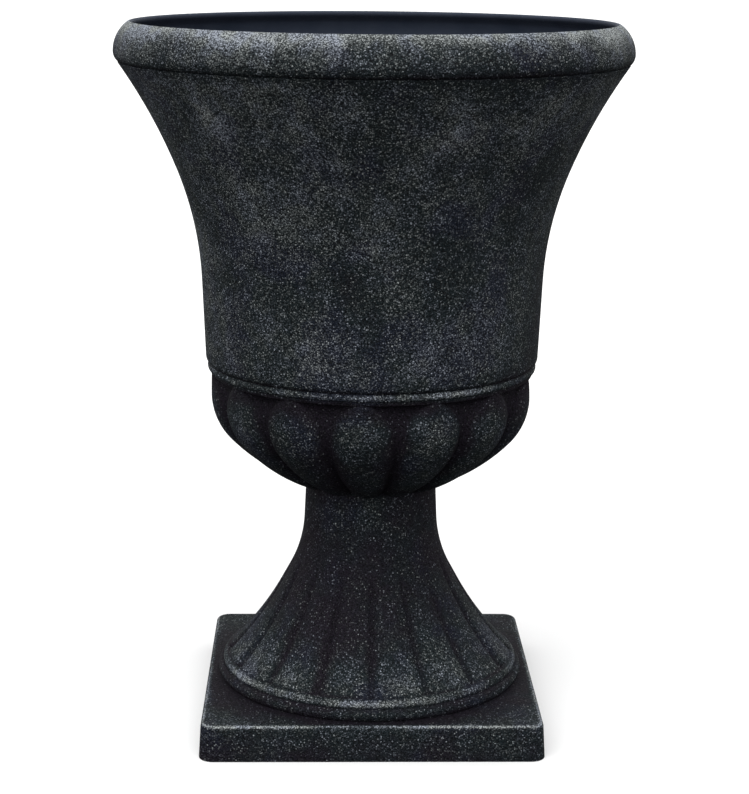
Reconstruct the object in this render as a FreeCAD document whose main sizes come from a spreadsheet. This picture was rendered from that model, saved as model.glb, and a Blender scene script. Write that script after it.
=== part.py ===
import FreeCAD, Part
import math
import os
import Sketcher
from FreeCAD import Placement, Rotation, Vector

# Urn planter: a flared bowl with a rolled rim and a ring of gadroons, screwed down on a hollow
# pedestal with a fluted skirt, a double foot ring and a square plinth. A stopper closes the
# drain hole. Millimetres and degrees; the origin is the centre of the plinth's underside, +Z is
# up and the front of the plinth faces -Y. Levels are heights above the ground.

doc = FreeCAD.newDocument("UrnPlanter")

# Driving dimensions -------------------------------------------------------------------------

DIMENSIONS = {
    # overall
    "OverallHeight": 540,
    "SeamLevel": 184,            # where the bowl stands on the neck
    "WallThickness": 4.5,        # of the bowl
    "PedestalWall": 5.5,         # thicker, because the flutes are cut into it
    # rim band, a rolled lip
    "RimRadius": 195.6,          # the widest point of the planter
    "RimBulgeDrop": 22,          # from the lip down to that widest point
    "RimRollRadius": 26.5,
    "CreaseDrop": 28.5,          # from the lip down to the crease under the band
    "CreaseInset": 3.4,          # from the widest point in to the edges of the crease
    "CreaseDepth": 1.4,
    "CreaseWidth": 1.6,
    "CreaseSlant": 1.22,         # wall measured level over wall measured square, at the crease
    # flared body of the bowl
    "BodyFootLevel": 286,
    "BodyFootRadius": 128.8,
    "BodyLean": 2.4,             # from upright
    "StraightTopLevel": 345.5,
    "FlareRunShare": 0.298,      # of the flare's run, where the wider arc takes over
    "FlareRiseShare": 0.515,     # of its rise there
    # groove and bead under the body
    "GrooveLevel": 281.4,
    "GrooveRadius": 125.9,
    "BeadRadius": 127.0,
    "BeadRound": 4,
    "BeadLowerLevel": 276.4,
    "BeadStep": 1,
    "BandLowerLevel": 272.6,
    # gadroons, the convex lobes round the lower bowl
    "GadroonCount": 14,
    "GadroonTurn": -4.6,         # from the front, negative towards -X
    "GadroonRadius": 125.1,      # radius of the crests where they stand upright
    "CrestLevel": 257,
    "ShoulderArcRadius": 51.4,
    "ShoulderAngle": 43.5,       # turned by the shoulder arc
    "BellyArcRadius": 155.2,
    "LowestCrestAngle": 74,
    "GadroonFullness": 0.86,     # half width of a gadroon over half the pitch, at the shoulder
    "GadroonFootFullness": 0.96,  # the same at the lowest crest
    "GadroonBulge": 0.46,        # depth of a gadroon over its half width
    "GadroonTip": 0.3,           # the crests end this far under the band
    "ValleyDepth": 8,
    "ValleyFootRise": 4,         # where the valleys run out above the seam
    # floor of the bowl
    "SumpRadius": 45.6,
    "SumpDepth": 6,
    "FloorThickness": 5,
    "SumpRimRise": 6.5,
    "DrainRadius": 10,
    # neck and skirt of the pedestal
    "NeckRadius": 51.05,
    "NeckLean": 2.5,             # from upright
    "NeckFootLevel": 155.1,
    "ThroatRadius": 97,
    "SkirtAngle": 28.6,          # from upright, on the straight of the skirt
    "SkirtStraightDrop": 13.3,
    "SkirtFootRadius": 112.6,
    "SkirtFootLevel": 44,
    # flutes, the convex reeds of the skirt with a narrow valley between each two
    "FluteCount": 16,
    "FluteDepth": 3.4,
    "FluteWidth": 25,            # at the skirt's foot
    "FluteLift": 1,              # the cut starts this far outside the skirt
    "FluteFadeRise": 16,         # the valleys fade out this far above the straight
    # foot ring and plinth
    "FootRingRadius": 121,
    "FootRingBulge": 2,
    "FootRingTopLevel": 36.6,
    "FootBeadRadius": 116.6,
    "FootBeadRound": 5,
    "FootBeadTopLevel": 43.6,
    "PlinthHeight": 27.5,
    "PlinthWidth": 260.8,
    "PlinthDraft": 3.3,          # from upright
    "PlinthCornerRadius": 11,
    "PlinthEdgeRound": 3,
    # deck, bosses and fasteners
    "SeatClearance": 0.3,
    "DeckThickness": 6,
    "DeckDrainRadius": 15,
    "ScrewCount": 4,
    "ScrewTurn": 45,             # from the +X side to the first screw
    "ScrewCircleRadius": 30,
    "ScrewRadius": 2.1,
    "ScrewReach": 24,            # from under the head to the tip
    "ScrewPointLength": 4,
    "ScrewPointRadius": 0.6,
    "ScrewHeadRadius": 4.4,
    "ScrewHeadHeight": 3,
    "ScrewCrownRadius": 2.6,
    "ScrewRecessRadius": 1.4,
    "ScrewRecessDepth": 1.6,
    "PilotClearance": 0.05,
    "ClearHoleRadius": 2.7,
    "WasherRadius": 6.2,
    "WasherThickness": 1.4,
    "BossRadius": 6.5,
    "BossDepth": 17,
    # drain plug
    "PlugFlangeRadius": 15,
    "PlugFlangeThickness": 2.6,
    "PlugStemDepth": 9,
    "PlugStemTaper": 0.5,
    "PlugTabWidth": 15,
    "PlugTabHeight": 13,
    "PlugTabThickness": 4,
    "PlugEyeRadius": 3.2,
}

sheet = doc.addObject("Spreadsheet::Sheet", "Sizes")
for row, (name, number) in enumerate(DIMENSIONS.items(), start=1):
    sheet.set(f"A{row}", name)
    sheet.set(f"B{row}", str(number))
    sheet.setAlias(f"B{row}", name)
doc.recompute()


class Size:
    """A length, angle or ratio that knows its number and the sheet expression it comes from."""

    def __init__(self, number, text):
        self.number = float(number)
        self.text = text

    def __add__(self, other):
        other = as_size(other)
        return Size(self.number + other.number, f"({self.text} + {other.text})")

    def __sub__(self, other):
        other = as_size(other)
        return Size(self.number - other.number, f"({self.text} - {other.text})")

    def __mul__(self, other):
        other = as_size(other)
        return Size(self.number * other.number, f"({self.text} * {other.text})")

    def __truediv__(self, other):
        other = as_size(other)
        return Size(self.number / other.number, f"({self.text} / {other.text})")

    def __neg__(self):
        return Size(-self.number, f"(0 - {self.text})")


def as_size(value):
    """The value itself, or a plain number as a Size."""
    return value if isinstance(value, Size) else Size(value, repr(float(value)))


def cell(name):
    """The sheet's value of that name."""
    return Size(DIMENSIONS[name], f"Sizes.{name}")


def cosine(angle):
    """Cosine of an angle in degrees."""
    return Size(math.cos(math.radians(angle.number)), f"cos({angle.text})")


def sine(angle):
    """Sine of an angle in degrees."""
    return Size(math.sin(math.radians(angle.number)), f"sin({angle.text})")


def tangent(angle):
    """Tangent of an angle in degrees."""
    return sine(angle) / cosine(angle)


def root(value):
    """Square root."""
    return Size(math.sqrt(value.number), f"sqrt({value.text})")


def arctangent(value):
    """Angle in degrees whose tangent is the value."""
    return Size(math.degrees(math.atan(value.number)), f"(atan({value.text}) / 1 deg)")


UPRIGHT = as_size(0)


def arc_radius(run, rise, heading):
    """Radius of the arc across a run and a rise that starts at the heading from upright."""
    across = run * cosine(heading) - rise * sine(heading)
    return (run * run + rise * rise) / (across * 2)


# Sketches and features ----------------------------------------------------------------------

LEVEL_AXIS, UPRIGHT_AXIS = -1, -2
START, END, CENTRE = range(1, 4)
LEFT, RIGHT = 1, -1


def origin_feature(body, role):
    """One of the body's own base planes or axes."""
    return next(feature for feature in body.Origin.OriginFeatures if feature.Role == role)


def new_body(label):
    """Empty body whose label names the sub-part."""
    body = doc.addObject("PartDesign::Body", label)
    body.Label = label
    return body


def new_sketch(body, name, role, level=None):
    """Sketch on a base plane of the body, lifted to a level."""
    sketch = body.newObject("Sketcher::SketchObject", name)
    sketch.AttachmentSupport = [(origin_feature(body, role), "")]
    sketch.MapMode = "FlatFace"
    if level is not None:
        sketch.AttachmentOffset = Placement(Vector(0, 0, level.number), Rotation())
        sketch.setExpression("AttachmentOffset.Base.z", level.text)
    return sketch


def hold(sketch, kind, size, *where):
    """Dimension of a sketch that follows the sheet."""
    index = sketch.addConstraint(Sketcher.Constraint(kind, *where, size.number))
    sketch.setExpression(f"Constraints[{index}]", size.text)


def pin(sketch, shape, point, x, y):
    """Hold one point of a sketch element at a place given by the sheet."""
    for kind, size, axis in (("DistanceX", x, UPRIGHT_AXIS), ("DistanceY", y, LEVEL_AXIS)):
        size = as_size(size)
        if size.number == 0:
            sketch.addConstraint(Sketcher.Constraint("PointOnObject", shape, point, axis))
        else:
            hold(sketch, kind, size, LEVEL_AXIS, START, shape, point)


class Outline:
    """Closed outline of lines and arcs whose corners and radii follow the sheet."""

    def __init__(self, sketch, x, y):
        self.sketch = sketch
        self.first = self.here = (x, y)
        self.first_end = self.last_end = None

    @staticmethod
    def vector(point):
        return Vector(as_size(point[0]).number, as_size(point[1]).number, 0)

    def join(self, shape, near, far):
        """Tie a new element to the end of the outline."""
        if self.last_end is None:
            self.first_end = (shape, near)
        else:
            self.sketch.addConstraint(Sketcher.Constraint("Coincident", *self.last_end, shape, near))
        self.last_end = (shape, far)

    def line_to(self, x, y):
        segment = Part.LineSegment(self.vector(self.here), self.vector((x, y)))
        shape = self.sketch.addGeometry(segment)
        self.join(shape, START, END)
        pin(self.sketch, shape, END, x, y)
        self.here = (x, y)

    def arc_to(self, x, y, radius, turn):
        """Arc of less than half a turn, to the left or to the right."""
        near, far = self.vector(self.here), self.vector((x, y))
        chord = far - near
        lift = math.sqrt(max(radius.number ** 2 - (chord.Length / 2) ** 2, 0))
        square = Vector(-chord.y, chord.x, 0).normalize()
        centre = (near + far) * 0.5 + square * lift * turn
        ends = (near, far) if turn == LEFT else (far, near)
        angles = [math.atan2(end.y - centre.y, end.x - centre.x) for end in ends]
        circle = Part.Circle(centre, Vector(0, 0, 1), radius.number)
        shape = self.sketch.addGeometry(Part.ArcOfCircle(circle, *angles))
        near_end, far_end = (START, END) if turn == LEFT else (END, START)
        self.join(shape, near_end, far_end)
        pin(self.sketch, shape, far_end, x, y)
        hold(self.sketch, "Radius", radius, shape)
        self.here = (x, y)

    def join_ends(self):
        """Tie the last element, which ends in the first point, to the first one."""
        self.sketch.addConstraint(Sketcher.Constraint("Coincident", *self.last_end, *self.first_end))

    def close(self):
        """Straight line back to the first point."""
        segment = Part.LineSegment(self.vector(self.here), self.vector(self.first))
        shape = self.sketch.addGeometry(segment)
        self.join(shape, START, END)
        pin(self.sketch, shape, END, *self.first)
        self.join_ends()


def add_circle(sketch, x, y, radius):
    """Circle held by the sheet."""
    centre = Outline.vector((x, y))
    shape = sketch.addGeometry(Part.Circle(centre, Vector(0, 0, 1), radius.number))
    pin(sketch, shape, CENTRE, x, y)
    hold(sketch, "Radius", radius, shape)


def finish(body, feature):
    """Make the feature the body's last one."""
    body.Tip = feature
    doc.recompute()
    return feature


def revolve(body, name, sketch, cut=False, axis="V_Axis"):
    """Full turn of a sketch about an upright axis, added or cut away."""
    before = body.Shape.Volume if cut else 0
    kind = "PartDesign::Groove" if cut else "PartDesign::Revolution"
    feature = body.newObject(kind, name)
    feature.Profile = sketch
    feature.ReferenceAxis = (sketch, [axis])
    feature.Angle = 360
    finish(body, feature)
    if cut:
        must_shrink(body, before)
    return feature


def pad(body, name, sketch, height, middle=False):
    """Straight block on a sketch, or to both sides of it."""
    feature = body.newObject("PartDesign::Pad", name)
    feature.Profile = sketch
    feature.setExpression("Length", height.text)
    feature.Midplane = middle
    return finish(body, feature)


def drill(body, name, sketch, depth):
    """Cut straight down from a sketch."""
    before = body.Shape.Volume
    feature = body.newObject("PartDesign::Pocket", name)
    feature.Profile = sketch
    feature.setExpression("Length", depth.text)
    finish(body, feature)
    must_shrink(body, before)
    return feature


def loft(body, name, sections, cut=False):
    """Smooth solid through a row of sections, added or cut away."""
    kind = "PartDesign::SubtractiveLoft" if cut else "PartDesign::AdditiveLoft"
    feature = body.newObject(kind, name)
    feature.Profile = sections[0]
    feature.Sections = sections[1:]
    return finish(body, feature)


def ring_of(body, name, features, count):
    """Even ring of copies of the features about the upright axis."""
    pattern = body.newObject("PartDesign::PolarPattern", name)
    pattern.Originals = features
    pattern.Axis = (origin_feature(body, "Z_Axis"), [""])
    pattern.Angle = 360
    pattern.setExpression("Occurrences", count.text)
    return finish(body, pattern)


def turn_body(body, angle):
    """Turn a finished body about the upright axis."""
    body.Placement = Placement(Vector(), Rotation(Vector(0, 0, 1), angle.number))
    body.setExpression("Placement.Rotation.Angle", angle.text)


def must_shrink(body, before):
    """A cut that takes nothing away points the wrong way."""
    if body.Shape.Volume >= before - 1:
        raise RuntimeError(f"{body.Tip.Name} cuts nothing from {body.Label}")


# Levels and points that several pieces share ------------------------------------------------

wall = cell("WallThickness")
skirt_wall = cell("PedestalWall")
seam = cell("SeamLevel")
top = cell("OverallHeight")
sump_underside = seam - cell("SumpDepth")
floor_top = sump_underside + cell("FloorThickness")
deck_top = sump_underside - cell("SeatClearance")
deck_underside = deck_top - cell("DeckThickness")
head_seat = floor_top + cell("WasherThickness")
crease_radius = cell("RimRadius") - cell("CreaseInset")
crease_level = top - cell("CreaseDrop")


def shoulder_centre():
    """Centre of the arc that the gadroons' crests follow round the bowl's shoulder."""
    return cell("GadroonRadius") - cell("ShoulderArcRadius"), cell("CrestLevel")


def belly_centre():
    """Centre of the wider arc that carries the crests on down to the seam."""
    x, z = shoulder_centre()
    step = cell("BellyArcRadius") - cell("ShoulderArcRadius")
    angle = cell("ShoulderAngle")
    return x - step * cosine(angle), z + step * sine(angle)


def shoulder_foot(depth):
    """Lower end of the shoulder arc, that deep inside the crests."""
    x, z = shoulder_centre()
    radius = cell("ShoulderArcRadius") - depth
    angle = cell("ShoulderAngle")
    return x + radius * cosine(angle), z - radius * sine(angle)


def straight_top(depth):
    """Top of the body's straight stretch, that deep inside its outer face."""
    lean = cell("BodyLean")
    rise = cell("StraightTopLevel") - cell("BodyFootLevel")
    x = cell("BodyFootRadius") + rise * tangent(lean)
    return x - depth * cosine(lean), cell("StraightTopLevel") + depth * sine(lean)


def first_flare():
    """Run and rise of the body's first flare, and its lean from upright where the second starts."""
    x, z = straight_top(as_size(0))
    run = (crease_radius - x) * cell("FlareRunShare")
    rise = (crease_level - cell("CreaseWidth") - z) * cell("FlareRiseShare")
    return run, rise, arctangent(run / rise) * 2 - cell("BodyLean")


def flare_point(depth):
    """Where the body's two flares meet, that deep inside its outer face."""
    x, z = straight_top(as_size(0))
    run, rise, lean = first_flare()
    return x + run - depth * cosine(lean), z + rise + depth * sine(lean)


def rim_points(depth):
    """Centre of the rim's roll, and its end at the lip, that deep inside the outer face."""
    x, z = cell("RimRadius") - cell("RimRollRadius"), top - cell("RimBulgeDrop")
    middle = cell("RimRollRadius") - wall / 2
    up = (cell("RimBulgeDrop") - wall / 2) / middle
    across = root(as_size(1) - up * up)
    radius = cell("RimRollRadius") - depth
    return (x, z), (x + radius * across, z + radius * up), (x + middle * across, top)


def neck_point(level, depth):
    """Point of the neck's face at a level, that deep inside it."""
    lean = cell("NeckLean")
    return cell("NeckRadius") + (seam - level) * tangent(lean) - depth / cosine(lean), level


def throat_foot(depth):
    """Where the throat's arc runs into the straight of the skirt."""
    lean, slope = cell("NeckLean"), cell("SkirtAngle")
    x, z = neck_point(cell("NeckFootLevel"), as_size(0))
    x = x + cell("ThroatRadius") * (cosine(lean) - cosine(slope))
    z = z - cell("ThroatRadius") * (sine(slope) - sine(lean))
    return x - depth * cosine(slope), z - depth * sine(slope)


def skirt_point(depth):
    """Lower end of the skirt's straight, where its flare starts."""
    x, z = throat_foot(depth)
    drop = cell("SkirtStraightDrop")
    return x + drop * tangent(cell("SkirtAngle")), z - drop


# Bowl ---------------------------------------------------------------------------------------

def bowl_blank(body):
    """Turned blank: the gadroons' valleys, bead, groove, flared body and rolled rim."""
    depth = cell("ValleyDepth")
    valley_foot = (cell("NeckRadius"), seam + cell("ValleyFootRise"))
    shoulder = shoulder_foot(depth)
    valley_radius = cell("GadroonRadius") - depth
    cove_rise = (cell("BandLowerLevel") - cell("CrestLevel")) / 2
    crease_foot = (crease_radius, crease_level - cell("CreaseWidth"))
    crease_top = (crease_radius + cell("CreaseDepth") / 2, crease_level)
    flare = flare_point(as_size(0))
    run, rise, lean = first_flare()
    rim_centre, roll_end, lip_top = rim_points(as_size(0))

    outline = Outline(new_sketch(body, "BlankOutline", "XZ_Plane"), 0, seam)
    outline.line_to(cell("NeckRadius"), seam)
    outline.line_to(*valley_foot)
    reach = (shoulder[0] - valley_foot[0], shoulder[1] - valley_foot[1])
    outline.arc_to(*shoulder, arc_radius(*reach, cell("ShoulderAngle")), LEFT)
    outline.arc_to(valley_radius, cell("CrestLevel"), cell("ShoulderArcRadius") - depth, LEFT)
    outline.line_to(valley_radius, cell("CrestLevel") + cove_rise)
    cove_radius = arc_radius(depth, cove_rise, UPRIGHT)
    outline.arc_to(cell("GadroonRadius"), cell("BandLowerLevel"), cove_radius, RIGHT)
    outline.line_to(cell("GadroonRadius"), cell("BeadLowerLevel") - cell("BeadStep"))
    outline.line_to(cell("BeadRadius"), cell("BeadLowerLevel"))
    outline.arc_to(cell("GrooveRadius"), cell("GrooveLevel"), cell("BeadRound"), LEFT)
    step = (cell("BodyFootRadius") - cell("GrooveRadius"), cell("BodyFootLevel") - cell("GrooveLevel"))
    outline.arc_to(cell("BodyFootRadius"), cell("BodyFootLevel"), arc_radius(*step, UPRIGHT), LEFT)
    outline.line_to(*straight_top(as_size(0)))
    outline.arc_to(*flare, arc_radius(run, rise, cell("BodyLean")), RIGHT)
    rest = (crease_foot[0] - flare[0], crease_foot[1] - flare[1])
    outline.arc_to(*crease_foot, arc_radius(*rest, lean), RIGHT)
    outline.line_to(crease_radius - cell("CreaseDepth"), crease_foot[1] + cell("CreaseWidth") / 2)
    outline.line_to(*crease_top)
    bulge = (cell("RimRadius") - crease_top[0], rim_centre[1] - crease_top[1])
    outline.arc_to(cell("RimRadius"), rim_centre[1], arc_radius(*bulge, UPRIGHT), LEFT)
    outline.arc_to(*roll_end, cell("RimRollRadius"), LEFT)
    outline.arc_to(*lip_top, wall / 2, LEFT)
    outline.line_to(0, top)
    outline.close()
    return revolve(body, "Blank", outline.sketch)


def gadroon_section(body, name, place, crest, half_width):
    """Ellipse across one gadroon: its crest lies at the given distance from the place."""
    sketch = new_sketch(body, name, "XY_Plane")
    x, z, angle = place
    turn = Rotation(Vector(0, 1, 0), max(angle.number, 1e-3))
    sketch.AttachmentOffset = Placement(Vector(x.number, 0, z.number), turn)
    sketch.setExpression("AttachmentOffset.Base.x", x.text)
    sketch.setExpression("AttachmentOffset.Base.z", z.text)
    sketch.setExpression("AttachmentOffset.Rotation.Angle", angle.text)
    bulge = half_width * cell("GadroonBulge")
    middle = crest - bulge
    centre = Vector(middle.number, 0, 0)
    side = centre + Vector(0, half_width.number, 0)
    face = centre + Vector(bulge.number, 0, 0)
    ellipse = sketch.addGeometry(Part.Ellipse(side, face, centre))
    sketch.exposeInternalGeometry(ellipse)
    long_axis, short_axis = ellipse + 1, ellipse + 2
    pin(sketch, ellipse, CENTRE, middle, 0)
    sketch.addConstraint(Sketcher.Constraint("Vertical", long_axis))
    hold(sketch, "Distance", half_width * 2, long_axis)
    hold(sketch, "Distance", bulge * 2, short_axis)
    return sketch


ARCH_STEPS = (0.985, 0.8, 0.45, 0)   # sections of the arch, as shares of its rise
SHOULDER_STEPS = (0, 0.5)            # sections round the shoulder, as shares of its angle
BELLY_STEPS = (0, 0.45, 1)           # sections along the belly, as shares of its angle


def gadroon(body):
    """One convex lobe in two lofts: an arched top and a long belly.

    The crest runs upright under the band, round the shoulder arc and along the belly arc. Each
    section stands square to it, and its width is a share of the pitch at that radius, so the
    lobes narrow towards the neck. The share grows down the belly, so the valleys narrow faster.
    """
    pitch_share = sine(as_size(180) / cell("GadroonCount"))
    fullness, foot_fullness = cell("GadroonFullness"), cell("GadroonFootFullness")
    radius = cell("GadroonRadius")
    arch_rise = cell("BandLowerLevel") - cell("CrestLevel") - cell("GadroonTip")

    arch = []
    for step in ARCH_STEPS:
        place = (as_size(0), cell("CrestLevel") + arch_rise * step, as_size(0))
        half_width = radius * pitch_share * fullness * math.sqrt(1 - step ** 2)
        arch.append(gadroon_section(body, f"Arch{len(arch)}", place, radius, half_width))
    loft(body, "GadroonArch", arch)

    lobe = []

    def add_section(centre, crest, angle, full):
        """Section at an angle of one of the crest's two arcs."""
        half_width = (centre[0] + crest * cosine(angle)) * pitch_share * full
        place = (*centre, angle)
        lobe.append(gadroon_section(body, f"Lobe{len(lobe)}", place, crest, half_width))

    shoulder, belly = cell("ShoulderAngle"), cell("LowestCrestAngle")
    for step in SHOULDER_STEPS:
        add_section(shoulder_centre(), cell("ShoulderArcRadius"), shoulder * step, fullness)
    for step in BELLY_STEPS:
        full = fullness + (foot_fullness - fullness) * step
        add_section(belly_centre(), cell("BellyArcRadius"), shoulder + (belly - shoulder) * step, full)
    loft(body, "GadroonBelly", lobe)


def gadrooned_blank():
    """The turned blank with its whole ring of lobes, fused in one go."""
    blank = new_body("bowl_blank")
    bowl_blank(blank)
    lobe = new_body("gadroon")
    gadroon(lobe)
    count = int(sheet.get("GadroonCount"))
    copies = []
    for index in range(count):
        copy = lobe.Shape.copy()
        copy.rotate(Vector(), Vector(0, 0, 1), 360 / count * index)
        copies.append(copy)
    ring = doc.addObject("Part::Feature", "GadroonedBlank")
    ring.Shape = blank.Shape.multiFuse(copies)
    return ring


def bowl_underside(body):
    """Trim the lobes level with the seam, and let the sump down into the neck."""
    under_lobes = belly_centre()[1] - cell("BellyArcRadius")
    trim = Outline(new_sketch(body, "TrimOutline", "XZ_Plane"), 0, under_lobes)
    trim.line_to(cell("GadroonRadius"), under_lobes)
    trim.line_to(cell("GadroonRadius"), seam)
    trim.line_to(0, seam)
    trim.close()
    revolve(body, "Trim", trim.sketch, cut=True)
    sump = new_sketch(body, "SumpOutline", "XY_Plane", sump_underside)
    add_circle(sump, 0, 0, cell("SumpRadius"))
    pad(body, "Sump", sump, cell("SumpDepth") + cell("ValleyFootRise"))


def bowl_hollow(body):
    """Inside of the bowl: a smooth skin that keeps the wall, with a sunk floor."""
    depth = cell("ValleyDepth") + wall
    sump = cell("SumpRadius") - wall
    sump_rim = (sump, seam + cell("SumpRimRise"))
    shoulder = shoulder_foot(depth)
    inner_radius = cell("GadroonRadius") - depth
    cove_rise = (cell("BandLowerLevel") - cell("CrestLevel")) / 2
    straight, flare = straight_top(wall), flare_point(wall)
    run, rise, lean = first_flare()
    crease = (crease_radius - wall * cell("CreaseSlant"), crease_level)
    rim_centre, roll_end, lip_top = rim_points(wall)

    outline = Outline(new_sketch(body, "HollowOutline", "XZ_Plane"), 0, floor_top)
    outline.line_to(sump, floor_top)
    outline.line_to(*sump_rim)
    reach = (shoulder[0] - sump_rim[0], shoulder[1] - sump_rim[1])
    outline.arc_to(*shoulder, arc_radius(*reach, cell("ShoulderAngle")), LEFT)
    outline.arc_to(inner_radius, cell("CrestLevel"), cell("ShoulderArcRadius") - depth, LEFT)
    outline.line_to(inner_radius, cell("CrestLevel") + cove_rise + wall / 2)
    outline.line_to(cell("BodyFootRadius") - wall, cell("BodyFootLevel"))
    outline.line_to(*straight)
    outline.arc_to(*flare, arc_radius(run, rise, cell("BodyLean")) + wall, RIGHT)
    rest = (crease[0] - flare[0], crease[1] - flare[1])
    outline.arc_to(*crease, arc_radius(*rest, lean), RIGHT)
    outline.line_to(cell("RimRadius") - wall, rim_centre[1])
    outline.arc_to(*roll_end, cell("RimRollRadius") - wall, LEFT)
    outline.arc_to(*lip_top, wall / 2, RIGHT)
    outline.line_to(lip_top[0], top + wall)
    outline.line_to(0, top + wall)
    outline.close()
    revolve(body, "Hollow", outline.sketch, cut=True)


def screw_place(body_turn):
    """Middle of the first screw, seen from a body that is turned about the upright axis."""
    angle = cell("ScrewTurn") - body_turn
    return cell("ScrewCircleRadius") * cosine(angle), cell("ScrewCircleRadius") * sine(angle)


def make_bowl():
    body = new_body("bowl")
    body.BaseFeature = gadrooned_blank()
    doc.recompute()
    turn = cell("GadroonTurn") - 90
    bowl_underside(body)
    bowl_hollow(body)
    drain = new_sketch(body, "DrainOutline", "XY_Plane", floor_top)
    add_circle(drain, 0, 0, cell("DrainRadius"))
    drill(body, "Drain", drain, cell("FloorThickness"))
    hole = new_sketch(body, "ScrewHoleOutline", "XY_Plane", floor_top)
    add_circle(hole, *screw_place(turn), cell("ClearHoleRadius"))
    first = drill(body, "ScrewHole", hole, cell("FloorThickness"))
    ring_of(body, "ScrewHoles", [first], cell("ScrewCount"))
    turn_body(body, turn)
    return body


# Pedestal -----------------------------------------------------------------------------------

def skirt_blank(body):
    """Turned neck, throat and flared skirt, solid for now."""
    foot = (cell("SkirtFootRadius"), cell("SkirtFootLevel"))
    straight = skirt_point(as_size(0))
    outline = Outline(new_sketch(body, "SkirtOutline", "XZ_Plane"), 0, cell("PlinthHeight"))
    outline.line_to(foot[0], cell("PlinthHeight"))
    outline.line_to(*foot)
    outline.arc_to(*straight, skirt_arc(straight, foot), RIGHT)
    outline.line_to(*throat_foot(as_size(0)))
    outline.arc_to(*neck_point(cell("NeckFootLevel"), as_size(0)), cell("ThroatRadius"), RIGHT)
    outline.line_to(cell("NeckRadius"), seam)
    outline.line_to(0, seam)
    outline.close()
    revolve(body, "Skirt", outline.sketch)


def skirt_arc(straight, foot):
    """Radius of the skirt's flare between its straight and its foot."""
    return arc_radius(foot[0] - straight[0], straight[1] - foot[1], cell("SkirtAngle"))


def flute_section(body, name, level, radius, depth):
    """Level cut across one valley: two reeds' rounded flanks that meet in a sharp root."""
    half = cell("FluteWidth") / 2 * (radius / cell("SkirtFootRadius"))
    lift = cell("FluteLift")
    drop = lift + depth
    flank = (half * half + drop * drop) / (drop * 2)
    outline = Outline(new_sketch(body, name, "XY_Plane", level), radius + lift, -half)
    outline.line_to(radius + lift, half)
    outline.arc_to(radius - depth, 0, flank, RIGHT)
    outline.arc_to(radius + lift, -half, flank, RIGHT)
    outline.join_ends()
    return outline.sketch


FLARE_STATIONS = ((0, 1), (0.33, 1.05), (0.67, 0.95))   # share of the flare's rise, and of the depth
STRAIGHT_FOOT_DEPTH, STRAIGHT_TOP_DEPTH = 0.75, 0.5     # shares of the depth at the straight's ends


def flutes(body):
    """Valley between two reeds, lofted up the skirt until it fades, and its ring of copies."""
    foot = (cell("SkirtFootRadius"), cell("SkirtFootLevel"))
    straight = skirt_point(as_size(0))
    slope = cell("SkirtAngle")
    flare = skirt_arc(straight, foot)
    flare_centre = (straight[0] + flare * cosine(slope), straight[1] + flare * sine(slope))
    throat = cell("ThroatRadius")
    throat_point = throat_foot(as_size(0))
    throat_centre = (throat_point[0] + throat * cosine(slope), throat_point[1] + throat * sine(slope))
    depth = cell("FluteDepth")

    stations = []
    for step, share in FLARE_STATIONS:
        level = foot[1] + (straight[1] - foot[1]) * step
        stations.append((level, on_arc(flare_centre, flare, level), depth * share))
    stations.append((straight[1], straight[0], depth * STRAIGHT_FOOT_DEPTH))
    stations.append((throat_point[1], throat_point[0], depth * STRAIGHT_TOP_DEPTH))
    fade = throat_point[1] + cell("FluteFadeRise")
    stations.append((fade, on_arc(throat_centre, throat, fade), -cell("FluteLift") / 2))
    sections = []
    for level, radius, deep in stations:
        sections.append(flute_section(body, f"Valley{len(sections)}", level, radius, deep))
    valley = loft(body, "Valley", sections, cut=True)
    ring_of(body, "Flutes", [valley], cell("FluteCount"))


def on_arc(centre, radius, level):
    """Distance from the axis of an arc that hollows the skirt, at a level."""
    drop = centre[1] - level
    return centre[0] - root(radius * radius - drop * drop)


def foot_ring(body):
    """Half-round torus on the plinth with a smaller bead on top of it."""
    bulge = cell("FootRingBulge")
    waist = cell("FootRingRadius") - bulge
    half_height = (cell("FootRingTopLevel") - cell("PlinthHeight")) / 2
    inside = cell("SkirtFootRadius") - skirt_wall
    outline = Outline(new_sketch(body, "FootRingOutline", "XZ_Plane"), inside, cell("PlinthHeight"))
    outline.line_to(waist, cell("PlinthHeight"))
    outline.arc_to(waist, cell("FootRingTopLevel"), arc_radius(bulge, half_height, UPRIGHT), LEFT)
    outline.line_to(cell("FootBeadRadius"), cell("FootRingTopLevel"))
    outline.arc_to(cell("SkirtFootRadius"), cell("FootBeadTopLevel"), cell("FootBeadRound"), LEFT)
    outline.line_to(inside, cell("FootBeadTopLevel"))
    outline.close()
    revolve(body, "FootRing", outline.sketch)


def rounded_square(sketch, half, corner):
    """Square about the origin with round corners."""
    flat = half - corner
    outline = Outline(sketch, -flat, -half)
    outline.line_to(flat, -half)
    outline.arc_to(half, -flat, corner, LEFT)
    outline.line_to(half, flat)
    outline.arc_to(flat, half, corner, LEFT)
    outline.line_to(-flat, half)
    outline.arc_to(-half, flat, corner, LEFT)
    outline.line_to(-half, -flat)
    outline.arc_to(-flat, -half, corner, LEFT)
    outline.join_ends()


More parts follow.
